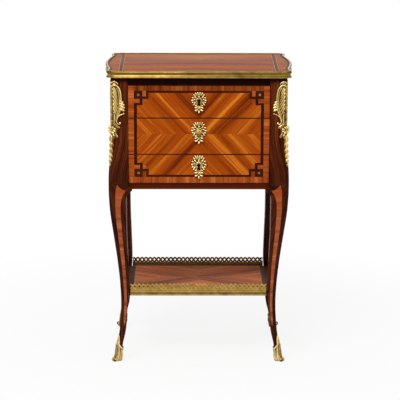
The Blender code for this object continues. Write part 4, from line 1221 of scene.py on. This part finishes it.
# Strokes of one half of the mount: (girth from the corner, down, width, height) in millimetres
CHUTE_STROKES = (
    # curl at the head, turned over to the front
    ((0.6, 6.6, 3.4, 3.2), (4.6, 2.4, 4.0, 4.6), (10.0, 2.6, 4.2, 5.0), (14.8, 6.4, 3.8, 4.6),
     (15.4, 9.6, 2.4, 3.2)),
    ((2.4, 9.6, 2.4, 2.4), (6.6, 7.0, 2.8, 3.2), (11.0, 8.0, 2.4, 2.8)),
    # scroll that frames the leaf and runs down into the stem
    ((0.5, 14.5, 3.6, 3.4), (5.5, 10.8, 4.8, 5.0), (12.0, 11.6, 5.4, 5.4), (17.6, 17.2, 5.6, 5.2),
     (21.0, 26.0, 5.4, 5.0), (22.6, 38.0, 5.0, 4.8), (23.0, 50.0, 4.4, 4.4), (22.2, 62.0, 3.8, 4.0),
     (20.0, 73.0, 3.4, 3.6), (16.4, 82.0, 3.2, 3.6), (13.6, 90.0, 3.2, 3.8), (12.4, 97.0, 3.0, 3.8)),
    # vein inside the scroll
    ((11.5, 17.0, 2.6, 2.6), (16.2, 24.5, 3.1, 3.6), (18.5, 36.0, 3.1, 3.6), (18.8, 52.0, 2.9, 3.4),
     (17.4, 68.0, 2.7, 3.2), (13.6, 82.0, 2.5, 3.2), (10.4, 93.0, 2.2, 2.8)),
    # tail turned out below the flank
    ((12.8, 96.0, 2.6, 3.0), (13.9, 90.5, 3.0, 3.8), (17.6, 85.2, 3.2, 4.2), (22.2, 82.0, 3.0, 4.0),
     (26.4, 80.4, 2.6, 3.4)),
    # rib down the waist
    ((6.4, 80.0, 3.0, 2.6), (7.0, 88.0, 4.0, 4.2), (6.6, 97.0, 3.8, 4.2), (5.4, 105.0, 2.6, 2.6)),
    # scroll under the waist
    ((10.2, 93.0, 2.8, 3.2), (12.0, 99.5, 3.2, 4.2), (15.6, 104.4, 3.2, 4.4), (20.0, 104.6, 2.6, 3.8)),
)
# Rounded lobes of one half: section, root, tip, width, height
CHUTE_LOBES = (
    # feathers that sweep from the veins to the corner
    (ROUND, (13.2, 31.0), (5.6, 14.6), 4.6, 5.0), (ROUND, (14.2, 40.0), (3.2, 17.6), 4.8, 5.2),
    (ROUND, (15.0, 49.0), (3.2, 26.4), 4.8, 5.2), (ROUND, (15.2, 58.0), (3.2, 35.4), 4.8, 5.2),
    (ROUND, (15.0, 67.0), (3.4, 44.6), 4.8, 5.0), (ROUND, (14.0, 75.0), (3.6, 53.8), 4.6, 4.8),
    (ROUND, (11.6, 82.0), (4.2, 63.0), 4.4, 4.6),
    # flank of the leaf
    (ROUND, (20.4, 48.6), (28.6, 53.4), 6.8, 4.2), (ROUND, (20.0, 54.6), (31.4, 59.4), 7.0, 4.4),
    (ROUND, (19.6, 60.8), (32.4, 66.0), 7.0, 4.4), (ROUND, (19.0, 67.0), (31.4, 72.6), 6.8, 4.2),
    # leaves round the rosette
    (LEAF, (6.4, 105.0), (19.8, 114.2), 5.4, 4.6), (ROUND, (3.4, 126.5), (6.6, 134.0), 4.6, 4.8),
    (LEAF, (8.4, 126.0), (14.4, 137.4), 5.2, 4.4),
)
# Leaflets up the corner itself: width and height, then root and tip of each
CORNER_SIZE = (5.8, 3.9)
CORNER_LOBES = ((29.0, 13.0), (45.0, 29.0), (61.0, 45.0), (77.0, 61.0), (94.0, 78.0), (108.0, 95.0))
# Rosette on the corner: petals, down, petal's root and tip from its eye, petal's width and height
ROSETTE_PETALS = 8
ROSETTE_DOWN = 118.6
ROSETTE_RADII = (3.4, 11.2)
ROSETTE_SIZE = (5.8, 5.2)
DROP_LIFT = 1.2
# Pearls of one half: girth, down, radius, height
CHUTE_PEARLS = ((8.4, 6.2, 1.7, 4.2), (6.0, 76.6, 2.6, 5.6), (29.0, 79.6, 2.7, 4.8), (20.0, 101.8, 3.7, 5.6))
HUSKS = ((132.0, 1.20), (148.6, 1.05), (162.8, 0.97), (175.6, 0.90), (187.4, 0.80))

def wrapped(signs):
    """Places a corner's ornament by girth from the middle of the cant, height and lift, in millimetres."""
    def place(along, up, lift):
        z = up * MM
        outward, width, cant = leg_measures(z)
        half_cant = cant / sqrt(2)
        middle = outward - cant / 2
        reach = abs(along) * MM
        beyond = max(reach - half_cant, 0.0)
        on_cant = min(reach, half_cant) / sqrt(2)
        angle = radians(45 * (1 + min(reach / half_cant, 1.0)))
        near = middle + on_cant + lift * MM * sin(angle)
        far = middle - on_cant - beyond + lift * MM * cos(angle)
        u, v = (far, near) if along > 0 else (near, far)
        return corner_point(signs, u, v, z)
    return place

def husk(piece, down, size, place):
    """One bell flower of the drop."""
    middle = ((0.0, 0.0, 2.2, 2.4), (0.0, 5.0, 4.2, 4.2), (0.0, 11.4, 4.0, 4.2), (0.0, 16.6, 1.6, 2.0))
    flank = ((1.2, 0.8, 2.0, 2.0), (3.2, 5.0, 3.2, 3.4), (4.2, 10.0, 2.8, 3.0), (4.0, 14.0, 1.3, 1.6))
    ridge(piece, [(a * size, down + d * size, w * size, h * size) for a, d, w, h in middle], place, LEAF)
    for turned in (place, mirrored(place)):
        ridge(piece, [(a * size, down + d * size, w * size, h * size) for a, d, w, h in flank], turned, KEEL)
    bead(piece, 0.0, down + 0.3, 1.7 * size, 3.2 * size, place, rounds=8, rows=3)

def make_chutes():
    """Gilt corner mounts: a scrolled acanthus leaf, a rosette and a drop of husks."""
    top = (CASE_TOP - CHUTE_TOP_GAP) / MM
    for corner, signs in CORNERS.items():
        piece = Piece("gilt_chute_" + corner)
        on_corner = wrapped(signs)

        def place(along, down, lift):
            start, full = CHUTE_FLAT[along > 0]
            flat = min(max((abs(along) - start) / (full - start), 0.0), 1.0)
            left = FRONT_LIFT if along > 0 else SIDE_LIFT
            return on_corner(along, top - down, 0.3 + lift * (1 - flat * (1 - left)))

        def on_drop(along, down, lift):
            return on_corner(along, top - down, 0.4 + lift * DROP_LIFT)

        rings = []
        for down, half in curve_through(CHUTE_BACKING, 2):
            ring = []
            for share in BACKING_SHARES:
                ring.append(piece.point(place(share * half, down, 0.9 + 1.5 * (1 - share ** 2)), 0.20))
            for share in reversed(BACKING_SHARES):
                ring.append(piece.point(place(share * half, down, 0.0), 0.0))
            rings.append(ring)
        piece.skin(rings, piece.metal)
        for turned in (place, mirrored(place)):
            for stations in CHUTE_STROKES:
                ridge(piece, stations, turned, foot_tone=CHUTE_TONE)
            for section, root, tip, width, height in CHUTE_LOBES:
                lobe(piece, root, tip, width, height, turned, CHUTE_TONE, section)
            for pearl in CHUTE_PEARLS:
                bead(piece, *pearl, turned)
        for root, tip in CORNER_LOBES:
            lobe(piece, (0.0, root), (0.0, tip), *CORNER_SIZE, place, CHUTE_TONE, ROUND, CORNER_DARKER)
        near, far = ROSETTE_RADII
        for petal in range(ROSETTE_PETALS):
            turn = 2 * pi * (petal + 0.5) / ROSETTE_PETALS
            out = Vector((cos(turn), 0.86 * sin(turn)))
            root, tip = [(out.x * reach, ROSETTE_DOWN + out.y * reach) for reach in (near, far)]
            lobe(piece, root, tip, *ROSETTE_SIZE, on_drop, CHUTE_TONE, ROUND)
        bead(piece, 0.0, ROSETTE_DOWN, 2.4, 4.0, on_drop, worn=0.6)
        for down, size in HUSKS:
            husk(piece, down, size, on_drop)
        bead(piece, 0.0, 202.0, 2.1, 3.2, on_drop)
        bead(piece, 0.0, 205.4, 1.3, 2.2, on_drop, rounds=8, rows=3)
        piece.make("case", ["chute_" + corner], crease=55)

# Keyhole plates

KEYHOLE_ROUND = 4.4
KEYHOLE_SLOT = 2.5
KEYHOLE_FLARE = 3.9
KEYHOLE_HALF = 8.3
PLATE_ROUNDS = 56
# Rounded lobes of one half of a plate: root and tip as (out from the middle, up), width, height, how worn
PLATE_LOBES = (
    # crest
    ((1.8, 17.4), (3.0, 27.0), 4.8, 4.6, 0.92), ((5.2, 17.4), (9.0, 26.0), 5.0, 4.6, 0.92),
    ((8.6, 15.8), (13.4, 21.6), 4.8, 4.6, 1.0),
    # knops round the shield
    ((5.8, 11.2), (11.0, 16.2), 5.4, 6.4, 1.0), ((7.8, 6.6), (13.0, 9.6), 5.0, 6.2, 1.0),
    ((7.4, 1.0), (12.6, -3.0), 5.2, 6.2, 1.0), ((6.2, -5.8), (9.4, -9.4), 4.4, 5.4, 1.0),
    # outer leaves
    ((11.4, 11.6), (17.4, 12.8), 5.2, 4.8, 1.0), ((12.0, 6.0), (19.0, 5.2), 5.6, 5.0, 1.0),
    ((11.6, 1.2), (17.2, -0.4), 4.8, 4.6, 1.0), ((9.6, -4.4), (14.2, -5.8), 4.8, 4.8, 1.0),
    # pendant
    ((3.4, -12.4), (11.2, -13.2), 5.2, 5.8, 1.0), ((2.2, -18.4), (10.8, -20.2), 6.0, 6.2, 1.0),
)
# Rim round one side of the keyhole
PLATE_SCROLL = ((0.5, 11.2, 2.6, 4.6), (4.6, 9.8, 2.8, 5.0), (6.5, 5.2, 2.6, 5.0), (5.0, -0.6, 2.6, 5.2),
                (4.9, -4.4, 2.4, 5.0), (5.5, -8.6, 2.4, 4.8), (3.6, -11.6, 2.6, 4.8), (0.5, -12.4, 2.4, 4.6))
# Pearls of one half, and hollows and lobes on the middle line
PLATE_PEARLS = ((9.4, 2.6, 1.6, 5.0), (3.6, -16.0, 1.7, 5.4))
PLATE_HOLLOWS = ((21.0, 1.6, 3.4), (-17.8, 1.3, 4.6))
PLATE_MIDDLE = (((0.0, 12.2), (0.0, 17.8), 5.4, 6.2), ((0.0, -12.8), (0.0, -16.8), 4.6, 5.2),
                ((0.0, -19.4), (0.0, -27.2), 6.2, 6.4))
PLATE_TONE = 0.46
# Edge of a plate's backing: degrees up from the level, distance from the middle
PLATE_OUTLINE = (
    (90, 18.0), (66, 16.0), (50, 13.8), (34, 12.6), (12, 12.2), (-12, 11.0), (-38, 9.6), (-62, 12.5),
    (-78, 15.0), (-90, 17.0),
)
# Height that the plates are drawn at, and their backing from edge to keyhole: share, lift, relief
PLATE_DRAWN = 54.5
PLATE_SECTION = (
    (0.0, 0.0, 0.0), (0.0, 0.9, 0.10), (0.40, 1.7, 0.22), (0.70, 2.6, 0.45), (0.88, 3.2, 0.70),
    (1.0, 2.8, 0.50), (1.0, 0.0, 0.0),
)
BLIND_MIDDLE = 2.0
# Bud on the blind plate: petals, each from eye to tip, height over the plate's middle, how worn
BOSS_PETALS = 6
BOSS_STATIONS = ((1.0, 2.8, 6.4), (3.4, 5.0, 7.4), (6.2, 5.0, 6.6), (8.2, 2.0, 4.0))
BOSS_UP = 2.4
BOSS_WORN = 0.80

def keyhole_reach(angle):
    """Distance from the keyhole's middle to its edge in a direction, in millimetres."""
    head_up = KEYHOLE_HALF - KEYHOLE_ROUND
    below = acos(KEYHOLE_SLOT / KEYHOLE_ROUND)
    neck_up = head_up - KEYHOLE_ROUND * sin(below)
    outline = []
    steps = 24
    for step in range(steps + 1):
        turn = (pi + 2 * below) * step / steps - below
        outline.append((KEYHOLE_ROUND * cos(turn), head_up + KEYHOLE_ROUND * sin(turn)))
    outline += [(-KEYHOLE_SLOT, neck_up), (-KEYHOLE_FLARE, -KEYHOLE_HALF), (KEYHOLE_FLARE, -KEYHOLE_HALF)]
    ray = Vector((cos(angle), sin(angle)))
    far = 0.0
    for one, two in zip(outline, outline[1:] + outline[:1]):
        start = Vector(one)
        run = Vector(two) - start
        turned = ray.x * run.y - ray.y * run.x
        if abs(turned) < 1e-9:
            continue
        reach = (start.x * run.y - start.y * run.x) / turned
        share = (start.x * ray.y - start.y * ray.x) / turned
        if reach > 0 and -1e-6 <= share <= 1 + 1e-6:
            far = max(far, reach)
    return far

def plate_reach(angle):
    """Distance from a plate's middle to its backing's edge in a direction, in millimetres."""
    lean = abs((angle + pi / 2) % (2 * pi) - pi)
    degrees = 90 - lean * 180 / pi
    for (high, far), (low, near) in zip(PLATE_OUTLINE, PLATE_OUTLINE[1:]):
        if low <= degrees <= high:
            return near + (far - near) * (degrees - low) / (high - low)
    return PLATE_OUTLINE[-1][1]

def make_plates():
    """Three foliate keyhole plates; the middle one is blind and carries a bud."""
    face = -HALF_D - VENEER - VENEER_BED
    for name in DRAWER_NAMES:
        low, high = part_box("escutcheon_" + name)
        middle = (low.z + high.z) / 2
        stretch = (high.z - low.z) / PLATE_DRAWN / MM
        piece = Piece("gilt_escutcheon_" + name, "gilt_rubbed")

        def place(x, up, lift):
            return (x * MM, face - lift * MM - 0.0001, middle + up * MM * stretch)

        def at_keyhole(x, up, lift):
            return (x * MM, face - lift * MM - 0.0001, middle + up * MM)

        pierced = name != "middle"
        rings = []
        for share, lift, relief in PLATE_SECTION:
            ring = []
            for step in range(PLATE_ROUNDS):
                angle = 2 * pi * step / PLATE_ROUNDS
                outer = Vector(place(cos(angle) * plate_reach(angle), sin(angle) * plate_reach(angle), lift))
                reach = keyhole_reach(angle) if pierced else BLIND_MIDDLE
                inner = Vector(at_keyhole(cos(angle) * reach, sin(angle) * reach, lift))
                ring.append(piece.point(outer.lerp(inner, share), relief))
            rings.append(ring)
        if pierced:
            piece.skin(rings, piece.metal, looped=True)
        else:
            piece.skin(rings[:-1], piece.metal)
        for turned in (place, mirrored(place)):
            for root, tip, width, height, worn in PLATE_LOBES:
                lobe(piece, root, tip, width, height, turned, PLATE_TONE, ROUND, worn)
            ridge(piece, PLATE_SCROLL, turned, foot_tone=PLATE_TONE)
            for x, up, radius, height in PLATE_PEARLS:
                bead(piece, x, up, radius, height, turned, rounds=10)
        for root, tip, width, height in PLATE_MIDDLE:
            lobe(piece, root, tip, width, height, place, PLATE_TONE, ROUND)
        for up, radius, height in PLATE_HOLLOWS:
            bead(piece, 0.0, up, radius, height, place, rounds=10, worn=0.0)
        if not pierced:
            for petal in range(BOSS_PETALS):
                turn = 2 * pi * (petal + 0.5) / BOSS_PETALS
                stations = []
                for reach, width, height in BOSS_STATIONS:
                    stations.append((reach * cos(turn), BOSS_UP + reach * sin(turn), width, height))
                ridge(piece, stations, place, LEAF, worn=BOSS_WORN)
            bead(piece, 0.0, BOSS_UP, 8.2, 6.4, place, rounds=20, rows=6, worn=BOSS_WORN)
            bead(piece, 0.0, BOSS_UP, 2.8, 8.8, place, worn=BOSS_WORN)
        piece.make(name + "_drawer", ["escutcheon_" + name], crease=55)

# Foot mounts

SABOT_FIT = 0.5
SABOT_WALL = 1.5
SABOT_SOLE = 4.0
SABOT_PEAK = 67.0
SABOT_FLANK = 45.5
SABOT_INNER = 35.0
SABOT_HEEL = 34.0
SOLE_ROUND = 7.5
TOE_FLARE = 2.4
TOE_HEIGHT = 17.0
FOOT_ROWS = 30
# Rolled edge on the faces towards the heel: height, how far it stands out
HEEL_LIP = (4.6, 1.0)

def foot_edge(spot):
    """Height of the mount's upper edge at a spot round the foot."""
    face, share = spot
    if face == "cant":
        return SABOT_FLANK + (SABOT_PEAK - SABOT_FLANK) * (1 - abs(share)) ** 0.75
    if face in ("side", "front"):
        return SABOT_INNER + (SABOT_FLANK - SABOT_INNER) * (1 - share) ** 1.25
    return SABOT_INNER + (SABOT_HEEL - SABOT_INNER) * share

def sole_inset(z):
    """How far the foot is rounded in where it meets the floor, in millimetres."""
    below = max(1 - z / SOLE_ROUND, 0.0)
    return SOLE_ROUND * (1 - sqrt(1 - below ** 2))

def foot_spots():
    """Round the foot from the heel: face and share on it."""
    spots = []
    inner_steps, face_steps, cant_steps = 4, 10, 6
    spots += [("inner_y", 1 - step / inner_steps) for step in range(inner_steps)]
    spots += [("side", 1 - step / face_steps) for step in range(face_steps)]
    spots += [("cant", -1 + 2 * step / cant_steps) for step in range(cant_steps)]
    spots += [("front", step / face_steps) for step in range(face_steps)]
    spots += [("inner_x", step / inner_steps) for step in range(inner_steps)]
    return spots

def foot_point(spot, z, grow):
    """A point on a leg's outline grown outward, in millimetres of height and growth."""
    face, share = spot
    outward, width, cant = leg_measures(z * MM)
    outer = outward + grow * MM
    inner = outward - width - grow * MM
    cant_end = outer - cant - 0.6 * grow * MM
    if face == "cant":
        step = (share + 1) / 2
        return outer + (cant_end - outer) * step, cant_end + (outer - cant_end) * step
    if face in ("side", "front"):
        found = (outer, cant_end + (inner - cant_end) * share)
    else:
        found = (outer + (inner - outer) * share, inner)
    return found if face in ("side", "inner_y") else found[::-1]

def heel_lip(spot, z):
    """How far the rolled edge stands out on the faces towards the heel, in millimetres."""
    if not spot[0].startswith("inner"):
        return 0.0
    below = min(max((foot_edge(spot) - z) / HEEL_LIP[0], 0.0), 1.0)
    return HEEL_LIP[1] * sin(pi * below)

def toe_swell(z):
    """How far the toe turns out at a height, in millimetres."""
    return TOE_FLARE * sin(pi * (1 + 3 * min(z / TOE_HEIGHT, 1.0)) / 4)

def toe_turn(spot, z):
    """How far the toe turns out at a spot, along both axes, in millimetres."""
    face, share = spot
    swell = toe_swell(z)
    if face == "cant":
        return swell, swell
    if face not in ("side", "front"):
        return 0.0, 0.0
    turned = (swell * (1 - share) ** 0.5, swell * max(1 - 2 * share, 0.0))
    return turned if face == "side" else turned[::-1]

# Folds of the cup and the leaf above its lip, on one half:
# (girth from the corner, height, width, rise) in millimetres
FOOT_STROKES = (
    ((4.6, 6.0, 2.4, 1.0), (6.2, 12.0, 3.8, 1.9), (6.6, 20.0, 4.0, 2.2), (5.2, 30.0, 3.8, 2.2),
     (3.4, 41.0, 2.4, 1.2)),
    ((12.4, 5.0, 2.0, 0.8), (14.6, 11.0, 3.4, 1.7), (14.8, 18.0, 3.6, 1.9), (13.4, 25.0, 3.2, 1.7),
     (11.6, 32.0, 2.0, 1.0)),
    ((1.8, 42.0, 3.0, 1.0), (2.4, 47.0, 5.2, 1.8), (1.9, 52.5, 4.0, 1.7), (1.2, 58.0, 2.8, 1.4),
     (0.5, 64.5, 1.2, 0.9)),
)
FOOT_SPINE = ((0.0, 14.0, 3.0, 1.2), (0.0, 24.0, 3.8, 1.8), (0.0, 34.0, 3.8, 2.0), (0.0, 43.0, 2.6, 1.4))
FOOT_TONE = 0.14
FOOT_WORN = 0.95
# Strap of the toe's scroll: shares of its half width and of its thickness
TOE_SECTION = (
    (-1, -1), (-1.06, 0), (-1, 1), (-0.4, 1.35), (0, 1.0), (0.4, 1.35), (1, 1), (1.06, 0), (1, -1), (0, -1),
)
TOE_WIDTH = 7.0
TOE_TURNS = 1.45
TOE_MIDDLE = (-4.5, 7.4)
TOE_RADIUS = 6.3
# Girth over which the toe's turn fades, and how deep the folds are let into the cup
TOE_FADE = 16.0
FOLD_BED = 0.4

def cup_tone_and_painted_light(spot, z):
    """Tone of the cup: a painted reflection on the belly of each outer face and painted shade towards its
    edges.
    """
    face, share = spot
    if face not in ("front", "side"):
        return 0.22
    # painted reflection on the belly of the face
    belly_highlight = exp(-((share - 0.46) / 0.34) ** 2 - ((z - 9.0) / 13.0) ** 2)
    fold = cos(2 * pi * (1.9 * share - 0.36 + 0.10 * sin(z / 8.0)))
    return 0.36 + 0.42 * belly_highlight + 0.16 * fold

def make_sabots():
    """Gilt feet: a leaf cup with a rolled edge, ribs and a toe curled up in a scroll."""
    spots = foot_spots()
    for corner, signs in CORNERS.items():
        piece = Piece("gilt_sabot_" + corner, "gilt_rubbed")
        rings = []
        for row in range(FOOT_ROWS + 1):
            share = row / FOOT_ROWS
            ring = []
            for spot in spots:
                z = foot_edge(spot) * share
                u, v = foot_point(spot, z, SABOT_FIT + SABOT_WALL - sole_inset(z) + heel_lip(spot, z))
                out_x, out_y = toe_turn(spot, z)
                relief = cup_tone_and_painted_light(spot, z) + 0.3 * max(share * 6 - 5, 0.0)
                ring.append(piece.point(corner_point(signs, u + out_x * MM, v + out_y * MM, z * MM), relief))
            rings.append(ring)
        for share in (1.0, 0.75, 0.5, 0.25, 0.0):
            ring = []
            for spot in spots:
                z = SABOT_SOLE + (foot_edge(spot) - SABOT_SOLE) * share
                u, v = foot_point(spot, z, SABOT_FIT)
                ring.append(piece.point(corner_point(signs, u, v, z * MM), 0.2))
            rings.append(ring)
        piece.skin(rings, piece.metal)
        on_corner = wrapped(signs)

        def place(along, up, lift):
            fade = max(1 - abs(along) / TOE_FADE, 0.0)
            return on_corner(along, up, lift + SABOT_FIT + SABOT_WALL - FOLD_BED + toe_swell(up) * fade)

        ridge(piece, FOOT_SPINE, place, KEEL, steps=5, worn=0.6)
        for turned in (place, mirrored(place)):
            for stations in FOOT_STROKES:
                ridge(piece, stations, turned, foot_tone=FOOT_TONE, worn=FOOT_WORN)
            ridge(piece, rolled_edge(), turned, ROUND, steps=2, foot_tone=FOOT_TONE)
        add_toe_scroll(piece, signs)
        piece.make("case", ["sabot_" + corner], crease=55)

def rolled_edge():
    """Path of the rolled lip along the mount's upper edge on one face."""
    stations = []
    steps = 14
    for step in range(steps + 1):
        share = step / steps
        z = foot_edge(("front", share))
        outward, width, cant = leg_measures(z * MM)
        girth = (cant / sqrt(2) + (width - cant) * share) / MM
        stations.append((girth, z - 1.6, 3.8, 2.6))
    return stations

def add_toe_scroll(piece, signs):
    """The toe: a strap that runs down the corner and curls up in a scroll above the floor."""
    path = []
    steps = 26
    for step in range(steps + 1):
        share = step / steps
        angle = radians(200) + TOE_TURNS * 2 * pi * share
        radius = TOE_RADIUS * (1 - 0.72 * share)
        path.append((TOE_MIDDLE[0] + radius * cos(angle), TOE_MIDDLE[1] + radius * sin(angle), share))
    rings = []
    for number, (out, up, share) in enumerate(path):
        back = path[max(number - 1, 0)]
        ahead = path[min(number + 1, len(path) - 1)]
        run = Vector((ahead[0] - back[0], ahead[1] - back[1])).normalized()
        normal = (run.y, -run.x)
        wide = TOE_WIDTH / 2 * (1 - 0.35 * share)
        thick = 0.8 * (1 - 0.3 * share)
        ring = []
        for across, depth in TOE_SECTION:
            o = out + normal[0] * depth * thick
            z = max(up + normal[1] * depth * thick, 0.0)
            side = across * wide / sqrt(2)
            spot = corner_point(signs, (o + side) * MM, (o - side) * MM, z * MM)
            ring.append(piece.point(spot, 0.02 + 0.55 * (depth > 0)))
        rings.append(ring)
    piece.skin(rings, piece.metal)
    for sign in (-1, 1):
        def on_side(out, up, lift):
            side = sign * (TOE_WIDTH * 0.36 + lift) / sqrt(2)
            o = TOE_MIDDLE[0] + out
            return corner_point(signs, (o + side) * MM, (o - side) * MM, (TOE_MIDDLE[1] + up) * MM)
        bead(piece, 0.0, 0.0, 2.8, 2.0, on_side, rounds=12)

# Carried-over solids

def dress(names, finish, width=0.0005):
    """Gives solids of the frame a finish and eases their edges."""
    for name in names:
        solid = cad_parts[name]
        if not solid.material_slots:
            solid.data.materials.append(None)
        for holder in solid.material_slots:
            holder.material = FINISHES[finish]
        ease = solid.modifiers.new("eased_edges", "BEVEL")
        ease.width = width
        ease.segments = 2
        ease.limit_method = "ANGLE"
        ease.angle_limit = radians(40)

def dress_solids():
    """Finishes of the boards, drawer linings and locks that keep their solids."""
    sides = ("left", "right")
    # the rail under the top is darkened: painted shadow
    dress(["front_top_rail"], "amaranth_painted_shade")
    dress(["front_apron"], "amaranth_x")
    dress(["dust_board_upper", "dust_board_lower", "case_bottom"], "oak_x")
    dress(["back_panel", "table_top", "shelf_board"], "oak_x")
    dress(["side_panel_" + side for side in sides], "oak_z")
    for name in DRAWER_NAMES:
        dress(["drawer_front_" + name, "drawer_back_" + name, "drawer_bottom_" + name], "oak_x")
        dress(["drawer_side_%s_%s" % (name, side) for side in sides], "oak_y")
        dress(["guide_%s_%s" % (name, side) for side in sides], "oak_y")
        if name != "middle":
            dress(["lock_case_" + name, "lock_bolt_" + name], "iron", 0.0003)

# Studio

CAMERA_PLACE = (-0.028, -3.910, 1.294)
CAMERA_DOWN = 13.21
CAMERA_LEFT = -0.4745
CAMERA_ROLL = 0.18
CAMERA_LENS = 144.3
FLOOR_SIZE = 30.0
# Lamps: place, aim, size, power
LAMPS = {
    "key": ((-0.9, -1.7, 2.6), (0.0, 0.0, 0.45), (1.7, 1.2), 60.0),
    "fill": ((1.9, -2.2, 1.5), (0.0, 0.0, 0.40), (1.6, 1.8), 12.0),
    "top": ((0.1, 0.2, 2.5), (0.0, 0.0, 0.70), (1.6, 1.2), 10.0),
}
WORLD_LIGHT = 0.15
FLOOR_SHOWS_SHADE = 0.12
SHADE_REACH = (0.25, 1.0)

def seen_as_background(recipe):
    """One for rays that should find the plain white background: seen directly, mirrored or through glass."""
    outputs = recipe.node("ShaderNodeLightPath").socket.node.outputs
    rays = ("Is Camera Ray", "Is Glossy Ray", "Is Transmission Ray")
    direct, reflected, through = [Value(recipe, outputs[name]) for name in rays]
    return (direct + reflected + through).spread(0.0, 1.0)

def make_world():
    """Soft even light, seen as white."""
    world = bpy.data.worlds.new("studio")
    world.use_nodes = True
    recipe = Recipe(world.node_tree)
    seen = seen_as_background(recipe)
    strength = WORLD_LIGHT + seen * (1.0 - WORLD_LIGHT)
    light = recipe.node("ShaderNodeBackground", None, {"Color": (1.0, 1.0, 1.0, 1.0), "Strength": strength})
    recipe.node("ShaderNodeOutputWorld", None, {"Surface": light})
    bpy.context.scene.world = world

def make_floor():
    """A pale floor that keeps a faint shadow."""
    material, recipe = new_material("floor")
    shade = recipe.node("ShaderNodeBsdfDiffuse", None, {"Color": (0.95, 0.95, 0.95, 1.0)})
    white = recipe.node("ShaderNodeEmission", None, {"Color": (1.0, 1.0, 1.0, 1.0), "Strength": 1.0})
    x, y = recipe.spot()[:2]
    away = (x * x + y * y).spread(SHADE_REACH[0] ** 2, SHADE_REACH[1] ** 2)
    share = seen_as_background(recipe) * (1.0 - FLOOR_SHOWS_SHADE * (1.0 - away))
    both = recipe.node("ShaderNodeMixShader", None, {0: share, 1: shade, 2: white})
    recipe.node("ShaderNodeOutputMaterial", None, {"Surface": both})
    mesh = bpy.data.meshes.new("floor")
    half = FLOOR_SIZE / 2
    corners = [(-half, -half, 0), (half, -half, 0), (half, half, 0), (-half, half, 0)]
    mesh.from_pydata(corners, [], [(0, 1, 2, 3)])
    mesh.materials.append(material)
    ground = bpy.data.objects.new("floor", mesh)
    bpy.context.collection.objects.link(ground)

def make_lamps():
    """Large soft lamps."""
    for name, (place, aim, size, power) in LAMPS.items():
        lamp = bpy.data.lights.new(name, "AREA")
        lamp.shape = "RECTANGLE"
        lamp.size, lamp.size_y = size
        lamp.energy = power
        holder = bpy.data.objects.new(name, lamp)
        holder.location = place
        holder.rotation_euler = (Vector(aim) - Vector(place)).to_track_quat("-Z", "Y").to_euler()
        holder.visible_camera = False
        bpy.context.collection.objects.link(holder)

def make_camera():
    """Camera at the photograph's angle."""
    camera = bpy.data.cameras.new("camera")
    camera.lens = CAMERA_LENS
    camera.sensor_width = 36.0
    camera.clip_end = 100.0
    holder = bpy.data.objects.new("camera", camera)
    holder.location = CAMERA_PLACE
    aimed = Euler((radians(90 - CAMERA_DOWN), 0.0, radians(CAMERA_LEFT))).to_matrix()
    holder.rotation_euler = (aimed @ Matrix.Rotation(radians(CAMERA_ROLL), 3, "Z")).to_euler()
    bpy.context.collection.objects.link(holder)
    bpy.context.scene.camera = holder

make_camera()
make_legs()
make_drawer_veneers()
make_side_veneers()
make_rim()
make_top_veneer()
make_shelf_veneer()
make_galleries()
make_chutes()
make_plates()
make_sabots()
dress_solids()
make_world()
make_floor()
make_lamps()
bpy.context.scene.view_settings.view_transform = "Standard"
